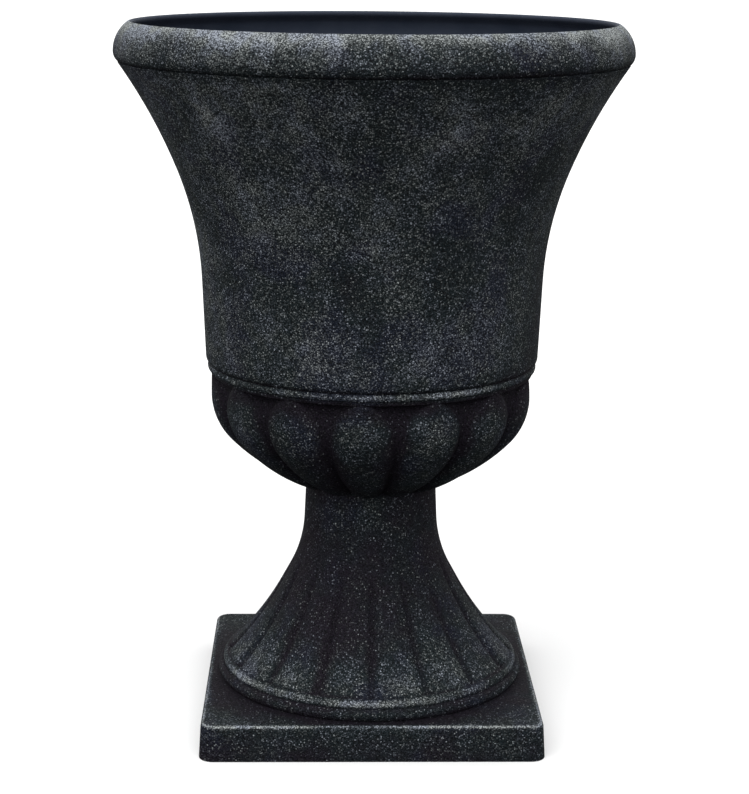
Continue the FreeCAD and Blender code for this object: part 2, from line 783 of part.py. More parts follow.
def plinth(body):
    """Square plinth with drafted sides, round corners and a softened top edge."""
    half = cell("PlinthWidth") / 2
    draft = cell("PlinthDraft")
    sketch = new_sketch(body, "PlinthOutline", "XY_Plane")
    rounded_square(sketch, half, cell("PlinthCornerRadius"))
    block = body.newObject("PartDesign::Pad", "Plinth")
    block.Profile = sketch
    block.setExpression("Length", cell("PlinthHeight").text)
    block.setExpression("TaperAngle", (-draft).text)
    finish(body, block)
    outside = cell("FootRingRadius").number
    names = []
    for index, edge in enumerate(block.Shape.Edges, start=1):
        level = all(math.isclose(end.Z, cell("PlinthHeight").number) for end in edge.Vertexes)
        if level and edge.CenterOfMass.Length > outside:
            names.append(f"Edge{index}")
    rounding = body.newObject("PartDesign::Fillet", "PlinthEdge")
    rounding.Base = (block, names)
    rounding.setExpression("Radius", cell("PlinthEdgeRound").text)
    finish(body, rounding)


def pedestal_hollow(body):
    """Open underside of the moulding, and the socket above the deck for the sump."""
    slope, lean = cell("SkirtAngle"), cell("NeckLean")
    straight = skirt_point(skirt_wall)
    foot = (cell("SkirtFootRadius") - skirt_wall, cell("SkirtFootLevel") - skirt_wall / 2)
    ring_inside = cell("FootRingRadius") - skirt_wall
    outline = Outline(new_sketch(body, "HollowOutline", "XZ_Plane"), 0, 0)
    outline.line_to(ring_inside, 0)
    outline.line_to(ring_inside, cell("PlinthHeight") + skirt_wall)
    outline.line_to(*foot)
    outline.arc_to(*straight, skirt_arc(straight, foot), RIGHT)
    outline.line_to(*throat_foot(skirt_wall))
    neck = neck_point(cell("NeckFootLevel") - skirt_wall * sine(lean), skirt_wall)
    outline.arc_to(*neck, cell("ThroatRadius") + skirt_wall, RIGHT)
    outline.line_to(*neck_point(deck_underside, skirt_wall))
    outline.line_to(0, deck_underside)
    outline.close()
    revolve(body, "Hollow", outline.sketch, cut=True)

    socket = new_sketch(body, "SocketOutline", "XY_Plane", seam)
    add_circle(socket, 0, 0, cell("SumpRadius") + cell("SeatClearance"))
    drill(body, "Socket", socket, seam - deck_top)

    inset = skirt_wall + cell("PlinthHeight") * tangent(cell("PlinthDraft"))
    underside = new_sketch(body, "UndersideOutline", "XY_Plane", cell("PlinthHeight") - skirt_wall)
    rounded_square(underside, cell("PlinthWidth") / 2 - inset, cell("PlinthCornerRadius") - skirt_wall)
    drill(body, "Underside", underside, cell("PlinthHeight"))


def deck_fittings(body):
    """Screw bosses under the deck, their pilot holes, and the hole that lets water through."""
    boss = new_sketch(body, "BossOutline", "XY_Plane", deck_underside - cell("BossDepth"))
    add_circle(boss, *screw_place(as_size(0)), cell("BossRadius"))
    first = pad(body, "Boss", boss, cell("BossDepth") + cell("DeckThickness") / 2)
    ring_of(body, "Bosses", [first], cell("ScrewCount"))
    pilot = new_sketch(body, "PilotOutline", "XY_Plane", deck_top)
    add_circle(pilot, *screw_place(as_size(0)), cell("ScrewRadius") + cell("PilotClearance"))
    first = drill(body, "Pilot", pilot, cell("DeckThickness") + cell("BossDepth"))
    ring_of(body, "Pilots", [first], cell("ScrewCount"))
    drain = new_sketch(body, "DeckDrainOutline", "XY_Plane", deck_top)
    add_circle(drain, 0, 0, cell("DeckDrainRadius"))
    drill(body, "DeckDrain", drain, cell("DeckThickness"))


def make_pedestal():
    body = new_body("pedestal")
    skirt_blank(body)
    flutes(body)
    foot_ring(body)
    plinth(body)
    pedestal_hollow(body)
    deck_fittings(body)
    return body


# Fasteners and drain plug -------------------------------------------------------------------

def make_screws():
    """Pan-head screws from the sump's floor down into the bosses."""
    body = new_body("joining_screws")
    axis = cell("ScrewCircleRadius")
    tip = head_seat - cell("ScrewReach")
    head_top = head_seat + cell("ScrewHeadHeight")
    recess_floor = head_top - cell("ScrewRecessDepth")
    sketch = new_sketch(body, "ScrewOutline", "XZ_Plane")
    outline = Outline(sketch, axis, tip)
    outline.line_to(axis + cell("ScrewPointRadius"), tip)
    outline.line_to(axis + cell("ScrewRadius"), tip + cell("ScrewPointLength"))
    outline.line_to(axis + cell("ScrewRadius"), head_seat)
    outline.line_to(axis + cell("ScrewHeadRadius"), head_seat)
    crown = cell("ScrewHeadRadius") - cell("ScrewCrownRadius")
    outline.arc_to(axis + cell("ScrewCrownRadius"), head_top,
                   arc_radius(crown, cell("ScrewHeadHeight"), UPRIGHT), LEFT)
    outline.line_to(axis + cell("ScrewRecessRadius"), head_top)
    outline.line_to(axis, recess_floor)
    outline.close()
    middle = sketch.addGeometry(Part.LineSegment(outline.vector((axis, tip)),
                                                 outline.vector((axis, head_top))), True)
    pin(sketch, middle, START, axis, tip)
    pin(sketch, middle, END, axis, head_top)
    first = revolve(body, "Screw", sketch, axis="Axis0")
    ring_of(body, "Screws", [first], cell("ScrewCount"))
    turn_body(body, cell("ScrewTurn"))
    return body


def make_washers():
    """Soft washers between the screw heads and the floor."""
    body = new_body("sealing_washers")
    sketch = new_sketch(body, "WasherOutline", "XY_Plane", floor_top)
    add_circle(sketch, cell("ScrewCircleRadius"), 0, cell("WasherRadius"))
    add_circle(sketch, cell("ScrewCircleRadius"), 0, cell("ClearHoleRadius"))
    first = pad(body, "Washer", sketch, cell("WasherThickness"))
    ring_of(body, "Washers", [first], cell("ScrewCount"))
    turn_body(body, cell("ScrewTurn"))
    return body


def make_plug():
    """Soft stopper: a flange on the floor, a tapered stem in the drain and a tab to pull."""
    body = new_body("drain_plug")
    stem = cell("DrainRadius") - cell("SeatClearance")
    tip = stem - cell("PlugStemTaper")
    flange_top = floor_top + cell("PlugFlangeThickness")
    outline = Outline(new_sketch(body, "StopperOutline", "XZ_Plane"), 0, floor_top - cell("PlugStemDepth"))
    outline.line_to(tip, floor_top - cell("PlugStemDepth"))
    outline.line_to(stem, floor_top)
    outline.line_to(cell("PlugFlangeRadius"), floor_top)
    outline.line_to(cell("PlugFlangeRadius"), floor_top + cell("PlugFlangeThickness") / 2)
    outline.line_to(cell("PlugFlangeRadius") - cell("PlugFlangeThickness") / 2, flange_top)
    outline.line_to(0, flange_top)
    outline.close()
    revolve(body, "Stopper", outline.sketch)

    half = cell("PlugTabWidth") / 2
    eye_level = flange_top + cell("PlugTabHeight") - half
    sketch = new_sketch(body, "TabOutline", "XZ_Plane")
    tab = Outline(sketch, -half, flange_top - cell("PlugFlangeThickness") / 2)
    tab.line_to(half, flange_top - cell("PlugFlangeThickness") / 2)
    tab.line_to(half, eye_level)
    tab.arc_to(0, eye_level + half, half, LEFT)
    tab.arc_to(-half, eye_level, half, LEFT)
    tab.close()
    add_circle(sketch, 0, eye_level, cell("PlugEyeRadius"))
    pad(body, "Tab", sketch, cell("PlugTabThickness"), middle=True)
    return body


bodies = [make_bowl(), make_pedestal(), make_screws(), make_washers(), make_plug()]
doc.recompute()

# Check everything, then write one file per sub-part -------------------------------------------

for item in doc.Objects:
    if "Invalid" in item.State or "Error" in item.State:
        raise RuntimeError(f"{item.Name}: {item.State}")
os.makedirs("parts", exist_ok=True)
for body in bodies:
    if body.Shape.isNull() or not body.Shape.isValid():
        raise RuntimeError(f"{body.Label} has no valid shape")
    body.Shape.exportStep(f"parts/{body.Label}.step")
    box = body.Shape.BoundBox
    print(f"{body.Label}: {len(body.Shape.Solids)} solid(s), {body.Shape.Volume / 1000:.1f} cm3,",
          f"{box.XLength:.1f} x {box.YLength:.1f} x {box.ZLength:.1f} mm, z {box.ZMin:.1f}..{box.ZMax:.1f}")
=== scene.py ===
# %% [markdown]
# # An urn planter in charcoal resin
# The planter is two thin mouldings: a flared bowl with a rolled rim and a ring of gadroons, and a
# hollow pedestal with a fluted skirt on a square plinth. Four screws hold them together inside
# and a soft plug closes the drain. The packed CAD model is loaded first and never moved. Its
# pieces are then made again as fine surfaces, because the finish needs smooth lobes and reeds,
# and values along the surface that tell it where the pale paint was brushed on and where
# highlights are painted.

import bpy
import numpy as np
from mathutils import Matrix, Vector


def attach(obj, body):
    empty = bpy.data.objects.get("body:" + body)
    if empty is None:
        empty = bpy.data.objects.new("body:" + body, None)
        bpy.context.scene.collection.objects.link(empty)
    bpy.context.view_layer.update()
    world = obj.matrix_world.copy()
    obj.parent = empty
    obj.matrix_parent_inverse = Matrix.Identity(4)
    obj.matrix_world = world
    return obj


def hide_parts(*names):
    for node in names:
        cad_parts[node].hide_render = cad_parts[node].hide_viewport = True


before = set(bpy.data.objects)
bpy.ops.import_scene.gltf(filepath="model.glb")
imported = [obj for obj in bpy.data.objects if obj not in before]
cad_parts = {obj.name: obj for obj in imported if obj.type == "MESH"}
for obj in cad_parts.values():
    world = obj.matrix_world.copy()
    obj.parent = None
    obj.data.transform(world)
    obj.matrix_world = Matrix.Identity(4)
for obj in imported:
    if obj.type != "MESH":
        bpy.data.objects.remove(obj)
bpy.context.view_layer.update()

# %% [markdown]
# ## Lines and arcs
# A moulding like this is drawn as an outline beside an upright axis and turned. The outline is
# made of straight lines and arcs that run into each other. Each helper gives points along one
# stretch and leaves the first point out, so that stretches join without doubles.

# %% Stretches of an outline
MM = 0.001
LEFT, RIGHT = 1, -1


def line(start, end, count):
    """Points from start to end: start * (1 - t) + end * t, for even steps of t."""
    t = np.linspace(0, 1, count + 1)[1:, None]
    return np.asarray(start) * (1 - t) + np.asarray(end) * t


def arc(start, end, radius, turn, count):
    """Points on a circle from start to end, which bends to the left or to the right.

    The centre stands off the middle of the chord by the root of radius squared less half the
    chord squared, and the angle about it runs evenly from the first end to the second.
    """
    start, end = np.asarray(start), np.asarray(end)
    chord = end - start
    length = np.hypot(*chord)
    lift = np.sqrt(radius ** 2 - (length / 2) ** 2)
    centre = (start + end) / 2 + turn * lift / length * np.array([-chord[1], chord[0]])
    first = np.arctan2(*(start - centre)[::-1])
    last = np.arctan2(*(end - centre)[::-1])
    sweep = (last - first + np.pi) % (2 * np.pi) - np.pi
    angle = first + sweep * np.linspace(0, 1, count + 1)[1:]
    return centre + radius * np.stack([np.cos(angle), np.sin(angle)], 1)


def closing_radius(start, end, lean):
    """Radius of the arc that leaves start at a lean from upright and ends in end."""
    run, rise = abs(end[0] - start[0]), abs(end[1] - start[1])
    return (run ** 2 + rise ** 2) / (2 * (run * np.cos(lean) - rise * np.sin(lean)))


def path(*stretches):
    """One outline from several stretches."""
    return np.concatenate([np.atleast_2d(stretch) for stretch in stretches])


print("A quarter circle ends at", arc((1, 0), (0, 1), 1, LEFT, 8)[-1].round(6))

# %% [markdown]
# ## From a grid to a closed mesh
# Nearly every piece is a sheet of quads that is wrapped round an upright axis. The outline of a
# hollow piece comes back to its own start, like the skin of a ring, and wrapping both ways closes
# all its seams. A solid one, such as a screw, starts and ends on its axis instead, where a fan
# of triangles meets in one point. Both kinds return plain arrays, so that four screws can be
# laid side by side before they become one mesh.

# %% Skins as arrays


def wrapped_quads(rows, columns, ends_join):
    """Quads between the points of a grid, whose last column joins its first."""
    index = np.arange(rows * columns).reshape(rows, columns)
    above, beside = np.roll(index, -1, 0), np.roll(index, -1, 1)
    quads = np.stack([index, beside, np.roll(above, -1, 1), above], -1)
    return (quads if ends_join else quads[:-1]).reshape(-1, 4)


def grid_points(radius, height, angle):
    """Points (radius * cos(angle), radius * sin(angle), height) of a grid, row after row."""
    return np.stack([radius * np.cos(angle), radius * np.sin(angle), height], -1).reshape(-1, 3)


def ring_skin(radius, height, angle):
    """Hollow piece: both directions of the grid join their last line to their first."""
    return grid_points(radius, height, angle), wrapped_quads(*radius.shape, True), np.empty((0, 3), int)


def solid_skin(radius, height, angle, first_pole, last_pole):
    """Solid piece: its first and last rows are closed by fans round a point on the axis."""
    rows, columns = radius.shape
    poles = [(0, 0, first_pole), (0, 0, last_pole)]
    points = np.concatenate([grid_points(radius, height, angle), poles])
    row = np.arange(columns)
    following = np.roll(row, -1)
    below = np.stack([following, row, np.full(columns, rows * columns)], 1)
    top = (rows - 1) * columns
    above = np.stack([top + row, top + following, np.full(columns, rows * columns + 1)], 1)
    return points, wrapped_quads(rows, columns, False), np.concatenate([below, above])


def side_by_side(skin, places):
    """One skin repeated at several places."""
    points, quads, triangles = skin
    offsets = np.arange(len(places)) * len(points)
    moved = (points[None] + np.asarray(places)[:, None]).reshape(-1, 3)
    return (moved, (quads[None] + offsets[:, None, None]).reshape(-1, 4),
            (triangles[None] + offsets[:, None, None]).reshape(-1, 3))


print("Quads round a ring of 3 by 4 points:", len(wrapped_quads(3, 4, True)))

# %% A mesh from arrays
SHARP_ANGLE = np.radians(38)


def mesh_piece(name, skin, marks=None):
    """Object at the origin with these points and faces, turned to face outwards.

    Six times the volume inside is the sum of each triangle's triple product. If it is negative,
    the faces run the wrong way round and are reversed. marks are values on the points for the
    finish.
    """
    points, quads, triangles = skin
    corners = np.concatenate([quads[:, [0, 1, 2]], quads[:, [0, 2, 3]], triangles])
    a, b, c = (points[corners[:, corner]] for corner in range(3))
    volume = (np.cross(a, b) * c).sum() / 6
    if volume < 0:
        quads, triangles = quads[:, ::-1], triangles[:, ::-1]
    mesh = bpy.data.meshes.new(name)
    mesh.from_pydata(points.tolist(), [], quads.tolist() + triangles.tolist())
    for mark, values in (marks or {}).items():
        layer = mesh.attributes.new(mark, "FLOAT", "POINT")
        layer.data.foreach_set("value", np.asarray(values, np.float32).ravel())
    mesh.shade_smooth()
    mesh.set_sharp_from_angle(angle=SHARP_ANGLE)
    piece = bpy.data.objects.new(name, mesh)
    bpy.context.scene.collection.objects.link(piece)
    print(f"{name}: {len(corners)} triangles, {abs(volume) * 1e6:.1f} cm3")
    return piece


def stands_for(piece, node, body):
    """Hide the CAD part that the piece replaces and hang the piece on the body it rides on."""
    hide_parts(node)
    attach(piece, body)


print("An edge is sharp where its faces turn by more than", round(np.degrees(SHARP_ANGLE)), "degrees")

# %% [markdown]
# ## The bowl's outline
# The bowl is drawn from the drain hole outwards and up to the lip, and back down inside. Above
# the gadroons it is a plain turned shape: a flat band, a bead and a groove, the body, which
# leans out in a straight stretch and two flares, a crease, and the rim rolled over to the lip.

# %% Sizes of the bowl
WALL = 4.5 * MM
SEAM = 184 * MM
TOP = 540 * MM

NECK_RADIUS = 51.05 * MM
SUMP_RADIUS, SUMP_FLOOR, FLOOR_TOP, DRAIN_RADIUS = 45.6 * MM, 178 * MM, 183 * MM, 10 * MM
SUMP_EDGE = SEAM + 6.5 * MM

GADROON_RADIUS = 125.1 * MM
GADROON_DEPTH = 8 * MM
CREST_LEVEL, BAND_LEVEL = 257 * MM, 272.6 * MM
SHOULDER_RADIUS, SHOULDER_ANGLE = 51.4 * MM, np.radians(43.5)
BELLY_RADIUS = 155.2 * MM
VALLEY_FOOT = np.array([NECK_RADIUS, SEAM + 4 * MM])

BEAD_RADIUS, BEAD_FOOT, GROOVE_RADIUS, GROOVE_LEVEL = 127 * MM, 276.4 * MM, 125.9 * MM, 281.4 * MM
BEAD_ROUND, BEAD_STEP = 4 * MM, 1 * MM
BODY_FOOT = np.array([128.8 * MM, 286 * MM])
BODY_LEAN = np.radians(2.4)
STRAIGHT_TOP = np.array([BODY_FOOT[0] + 59.5 * MM * np.tan(BODY_LEAN), 345.5 * MM])
FLARE_RADIUS, FLARE_LEAN = 257 * MM, np.radians(21.8)
CREASE_RADIUS, CREASE_TOP, CREASE_FOOT, CREASE_DEPTH = 192.2 * MM, 511.5 * MM, 509.9 * MM, 1.4 * MM
CREASE_WALL = 1.22 * WALL       # measured level, the leaning wall is wider there
RIM_RADIUS, RIM_LEVEL, ROLL_RADIUS = 195.6 * MM, 518 * MM, 26.5 * MM


def flare_end(lean_in, lean_out, start, radius):
    """End of an arc that starts at one lean from upright and ends at a wider one."""
    turn = np.array([np.cos(lean_in) - np.cos(lean_out), np.sin(lean_out) - np.sin(lean_in)])
    return start + radius * turn


def body_points(depth):
    """Top of the straight stretch and end of the first flare, that deep inside the outer face."""
    straight = STRAIGHT_TOP + depth * np.array([-np.cos(BODY_LEAN), np.sin(BODY_LEAN)])
    flare = flare_end(BODY_LEAN, FLARE_LEAN, STRAIGHT_TOP, FLARE_RADIUS)
    return straight, flare + depth * np.array([-np.cos(FLARE_LEAN), np.sin(FLARE_LEAN)])


def roll_end(depth):
    """Last point of the rim's roll, that deep inside it, and the top of the lip."""
    middle = ROLL_RADIUS - WALL / 2
    rise = (TOP - RIM_LEVEL - WALL / 2) / middle
    across = np.sqrt(1 - rise ** 2)
    centre = np.array([RIM_RADIUS - ROLL_RADIUS, RIM_LEVEL])
    end = centre + (ROLL_RADIUS - depth) * np.array([across, rise])
    return end, np.array([centre[0] + middle * across, TOP])


print("Flare ends at", body_points(0)[1].round(4), "and the lip is at", roll_end(0)[1].round(4))

# %% [markdown]
# ## The ring of gadroons
# A gadroon is a fat convex lobe. Its crest runs upright under the band, turns round a shoulder
# and runs in under the bowl along a wider arc. Between two lobes lies a valley with an outline
# of its own. A lobe could be a separate egg, cut into the bowl, but then its edge would be a
# hard line. In the moulding it is soft, so the surface is a blend of the two outlines instead:
# all crest in the middle of a lobe, all valley between two, with a soft step at the edge. Near
# the top the lobes narrow in an arch and leave a sunk spandrel between two of them. The grid's
# columns narrow with the arch, so that its edge follows a line of the mesh and comes out clean.

# %% Crest, valley and width of a lobe
GADROONS = 14
GADROON_TURN = np.radians(-94.6)
SHOULDER_WIDTH, FOOT_WIDTH, TIP_WIDTH = 0.86, 0.95, 0.03
ARCH_FOOT = 247 * MM
EDGE_SOFTNESS, DOME_FALL = 2.8 * MM, 0.9
LOBE_COLUMNS, VALLEY_COLUMNS = 12, 6
EVEN_WIDTH = LOBE_COLUMNS / (LOBE_COLUMNS + VALLEY_COLUMNS)

shoulder_centre = np.array([GADROON_RADIUS - SHOULDER_RADIUS, CREST_LEVEL])
belly_centre = shoulder_centre + (BELLY_RADIUS - SHOULDER_RADIUS) * np.array(
    [-np.cos(SHOULDER_ANGLE), np.sin(SHOULDER_ANGLE)])
lowest_crest = np.arcsin((belly_centre[1] - SEAM) / BELLY_RADIUS)


def round_centre(centre, radius, angle):
    """Points at these angles below the level of the centre."""
    return centre + radius * np.stack([np.cos(angle), -np.sin(angle)], 1)


def crest_and_valley():
    """Outline over the crests and outline along the valleys, row by row."""
    valley_radius = GADROON_RADIUS - GADROON_DEPTH
    inner_shoulder = SHOULDER_RADIUS - GADROON_DEPTH
    valley_shoulder = round_centre(shoulder_centre, inner_shoulder, np.array([SHOULDER_ANGLE]))[0]

    belly = np.linspace(lowest_crest, SHOULDER_ANGLE, 24)
    belly_crest = round_centre(belly_centre, BELLY_RADIUS, belly)
    bend = closing_radius(valley_shoulder, VALLEY_FOOT, SHOULDER_ANGLE)
    belly_valley = path(VALLEY_FOOT, arc(VALLEY_FOOT, valley_shoulder, bend, LEFT, 23))

    shoulder = np.linspace(SHOULDER_ANGLE, 0, 22)[1:]
    shoulder_crest = round_centre(shoulder_centre, SHOULDER_RADIUS, shoulder)
    shoulder_valley = round_centre(shoulder_centre, inner_shoulder, shoulder)

    rise = np.sin(np.linspace(0, np.pi / 2, 20)[1:]) * (BAND_LEVEL - CREST_LEVEL)
    cove = (BAND_LEVEL - CREST_LEVEL) / 2
    bend = (GADROON_DEPTH ** 2 + cove ** 2) / (2 * GADROON_DEPTH)
    up = np.clip(rise - cove, 0, None)
    cove_radius = valley_radius + bend - np.sqrt(bend ** 2 - up ** 2)
    arch_crest = np.stack([np.full(len(rise), GADROON_RADIUS), CREST_LEVEL + rise], 1)
    arch_valley = np.stack([cove_radius, CREST_LEVEL + rise], 1)
    return (path(belly_crest, shoulder_crest, arch_crest),
            path(belly_valley, shoulder_valley, arch_valley))


def lobe_width(height):
    """Width of a lobe over the pitch: it grows a little towards the foot and closes in an arch.

    Above the arch's foot it follows half an ellipse, the root of 1 - step squared.
    """
    body = np.interp(height, [SEAM, CREST_LEVEL], [FOOT_WIDTH, SHOULDER_WIDTH])
    step = np.clip((height - ARCH_FOOT) / (BAND_LEVEL - ARCH_FOOT), 0, 1)
    return TIP_WIDTH + (body - TIP_WIDTH) * np.sqrt(1 - step ** 2)


crest, valley = crest_and_valley()
width = lobe_width(crest[:, 1])
print("Crest from", crest[0].round(4), "to", crest[-1].round(4), "in", len(crest), "rows")

# %% Columns across a lobe


def half_columns(inside, outside):
    """Shares for the columns from a crest to a valley: inside the lobe, then outside it."""
    lobe = np.sin(np.linspace(0, np.pi / 2, inside + 1))
    spandrel = np.linspace(0, 1, outside + 1)[1:]
    return (np.concatenate([lobe, np.ones(outside)]),
            np.concatenate([np.zeros(inside + 1), spandrel]))


def lobe_columns(width, inside, outside):
    """Place of each column across its lobe, from -1 in one valley to 1 in the next, by row.

    A column lies at width * share inside the lobe, plus (1 - width) * share in the spandrel.
    """
    lobe, spandrel = half_columns(inside, outside)
    half = width[:, None] * lobe + (1 - width[:, None]) * spandrel
    return np.concatenate([-half[:, :0:-1], half[:, :-1]], 1)


def lobe_height(across, width, half_pitch):
    """How far the surface stands up from the valley to the crest, from 0 to 1.

    It is a dome, the root of 1 - (fall * share) squared, times a soft step over the edge of the
    lobe: half of 1 + d / root(d squared + softness squared), with d the distance inside it.
    """
    share = np.clip(np.abs(across) / width, 0, 1)
    inside = (width - np.abs(across)) * half_pitch
    step = 0.5 + 0.5 * inside / np.hypot(inside, EDGE_SOFTNESS)
    return np.sqrt(1 - (DOME_FALL * share) ** 2) * step


print("Columns round the bowl:", 2 * (LOBE_COLUMNS + VALLEY_COLUMNS) * GADROONS)

# %% [markdown]
# ## The outline round the bowl's wall
# The outline starts under the floor at the drain hole and runs out over the sump's step to the
# neck. The gadroons' rows come next. Above them it goes on up the body to the lip, and inside it
# comes back down at the wall's thickness, smooth behind the gadroons, to the drain hole.

# %% The bowl's outline, outside and inside


def bowl_outline():
    """Outline below the gadroons, then above them to the lip, then down inside to the drain."""
    drain, sump = (DRAIN_RADIUS, SUMP_FLOOR), (SUMP_RADIUS, SUMP_FLOOR)
    step, neck = (SUMP_RADIUS, SEAM), (NECK_RADIUS, SEAM)
    below = path(drain, line(drain, sump, 3), line(sump, step, 1), line(step, neck, 1))
    band_top = (GADROON_RADIUS, BEAD_FOOT - BEAD_STEP)
    bead_foot, groove = (BEAD_RADIUS, BEAD_FOOT), (GROOVE_RADIUS, GROOVE_LEVEL)
    straight, flare = body_points(0)
    crease_foot = (CREASE_RADIUS, CREASE_FOOT)
    crease_top = (CREASE_RADIUS + CREASE_DEPTH / 2, CREASE_TOP)
    crease = (CREASE_RADIUS - CREASE_DEPTH, (CREASE_FOOT + CREASE_TOP) / 2)
    widest = (RIM_RADIUS, RIM_LEVEL)
    end, lip = roll_end(0)
    above = path(line((GADROON_RADIUS, BAND_LEVEL), band_top, 2), line(band_top, bead_foot, 1),
                 arc(bead_foot, groove, BEAD_ROUND, LEFT, 5),
                 arc(groove, BODY_FOOT, closing_radius(groove, BODY_FOOT, 0), LEFT, 5),
                 line(BODY_FOOT, straight, 10),
                 arc(straight, flare, FLARE_RADIUS, RIGHT, 12),
                 arc(flare, crease_foot, closing_radius(flare, crease_foot, FLARE_LEAN), RIGHT, 10),
                 line(crease_foot, crease, 1), line(crease, crease_top, 1),
                 arc(crease_top, widest, closing_radius(crease_top, widest, 0), LEFT, 5),
                 arc(widest, end, ROLL_RADIUS, LEFT, 12),
                 arc(end, lip, WALL / 2, LEFT, 5))
    return below, above, bowl_inside(lip)


def bowl_inside(lip):
    """Inner face from the lip down: it keeps the wall, behind the valleys too, to the drain."""
    end, _ = roll_end(WALL)
    widest = (RIM_RADIUS - WALL, RIM_LEVEL)
    straight, flare = body_points(WALL)
    crease = (CREASE_RADIUS - CREASE_WALL, CREASE_TOP)
    foot = (BODY_FOOT[0] - WALL, BODY_FOOT[1])
    depth = GADROON_DEPTH + WALL
    cove = (BAND_LEVEL - CREST_LEVEL) / 2
    shoulder = shoulder_centre + (SHOULDER_RADIUS - depth) * np.array(
        [np.cos(SHOULDER_ANGLE), -np.sin(SHOULDER_ANGLE)])
    shoulder_top = (GADROON_RADIUS - depth, CREST_LEVEL)
    cove_foot = (GADROON_RADIUS - depth, CREST_LEVEL + cove + WALL / 2)
    sump_rim, sump_foot = (SUMP_RADIUS - WALL, SUMP_EDGE), (SUMP_RADIUS - WALL, FLOOR_TOP)
    return path(arc(lip, end, WALL / 2, LEFT, 4),
                arc(end, widest, ROLL_RADIUS - WALL, RIGHT, 8),
                line(widest, crease, 1),
                arc(crease, flare, closing_radius(flare, crease, FLARE_LEAN), LEFT, 6),
                arc(flare, straight, FLARE_RADIUS + WALL, LEFT, 8),
                line(straight, foot, 3), line(foot, cove_foot, 2), line(cove_foot, shoulder_top, 2),
                arc(shoulder_top, shoulder, SHOULDER_RADIUS - depth, RIGHT, 8),
                arc(shoulder, sump_rim, closing_radius(shoulder, sump_rim, SHOULDER_ANGLE), RIGHT, 8),
                line(sump_rim, sump_foot, 1), line(sump_foot, (DRAIN_RADIUS, FLOOR_TOP), 3))


print("Rows below the gadroons, above them and inside:", [len(part) for part in bowl_outline()])

# %% [markdown]
# ## Where the paint was brushed, and where highlights are painted
# The moulding is dark and pebbled, and pale paint was dry-brushed over it. It caught on what
# stands out and never reached the hollows. An image of the paint would be tied to one size, so
# each point of the mesh carries a value instead: 0 is clean, 1 well brushed, and the lip has 3,
# where the paint lies thick. The same value also paints highlights: over the rim's top and along
# the lip, on the top of the foot's bead and along the plinth's top edge. The value is a line over
# the height, read off at named levels, times a share that falls off into the valleys, times a
# few soft spots of the brush, which on the pedestal also paint highlight and shade. A second
# value is 1 where the skin is smooth and bare of paint, inside the mouldings.

# %% Levels and spots of the brush, and painted highlights
# From 519 mm up, the rim's top and the lip are thick paint and also painted highlight, brightest along
# the lip.
BOWL_PAINT_AND_LIP_HIGHLIGHT = {178: 0.2, 190: 0.38, 205: 0.52, 220: 0.52, 236: 0.62, 250: 0.74, 260: 0.46,
                266: 0.15, 273: 0.14, 276: 0.4, 278.5: 0.98, 280.4: 0.8, 281.4: 0.18, 284: 0.42,
                288: 0.6, 300: 0.58, 340: 0.56, 400: 0.66, 450: 0.76, 490: 0.84, 503: 0.84, 509: 0.72,
                511.5: 0.22, 513: 0.44, 519: 0.7, 526: 0.9, 531: 1.25, 535: 1.8, 538: 2.45, 539.5: 2.8,
                540: 3.1}
HOLLOW_SHYNESS = 1.5            # how quickly the value falls off from a crest into a valley
LIP_ROWS, LIP_BARE = 5, 0.7     # rows inside the lip that aren't quite bare, and their value


def paint_and_highlight_at(height, levels):
    """Paint and painted highlight at a height, on straight lines between the named levels."""
    return np.interp(height / MM, list(levels), list(levels.values()))


BOWL_STROKES = ((-42, 466, 16, 26, 0.7), (-41, 385, 13, 50, 0.55), (-26, 308, 24, 26, 0.6),
                (-12, 476, 40, 18, 0.35), (4, 400, 22, 34, 0.5), (13, 312, 26, 26, 0.5),
                (23, 468, 24, 20, 0.35), (-9, 364, 15, 26, -0.6), (44, 429, 24, 30, -0.35),
                (-75, 345, 25, 60, 0.3), (70, 330, 20, 50, -0.3), (-13, 262, 14, 8, 0.4),
                (17, 262, 14, 8, 0.4), (-65, 255, 24, 30, -0.6), (62, 255, 24, 30, -0.6),
                (25, 279, 45, 3, 0.7), (-50, 279, 60, 3, -0.3))


def strokes_and_painted_light(angle, radius, height, places):
    """Where the brush pressed harder or softer, and on the pedestal painted highlight and painted
    shade: 1 plus soft round spots, each a bell curve.

    A spot is its angle from the front in degrees, its level, its half width and half height in
    mm and its strength. The bell is exp(-(distance round / width)^2 - (step up / height)^2).
    """
    turned = angle + np.pi / 2
    spots = np.ones_like(radius)
    for at, level, wide, high, strength in places:
        around = radius * np.sin(turned - np.radians(at)) / (wide * MM)
        facing = np.cos(turned - np.radians(at)) > 0
        spots += strength * facing * np.exp(-around ** 2 - ((height / MM - level) / high) ** 2)
    return np.clip(spots, 0, None)


print("Brushed at the groove and the lip:", paint_and_highlight_at(np.array([GROOVE_LEVEL, TOP]), BOWL_PAINT_AND_LIP_HIGHLIGHT))

# %% The whole bowl


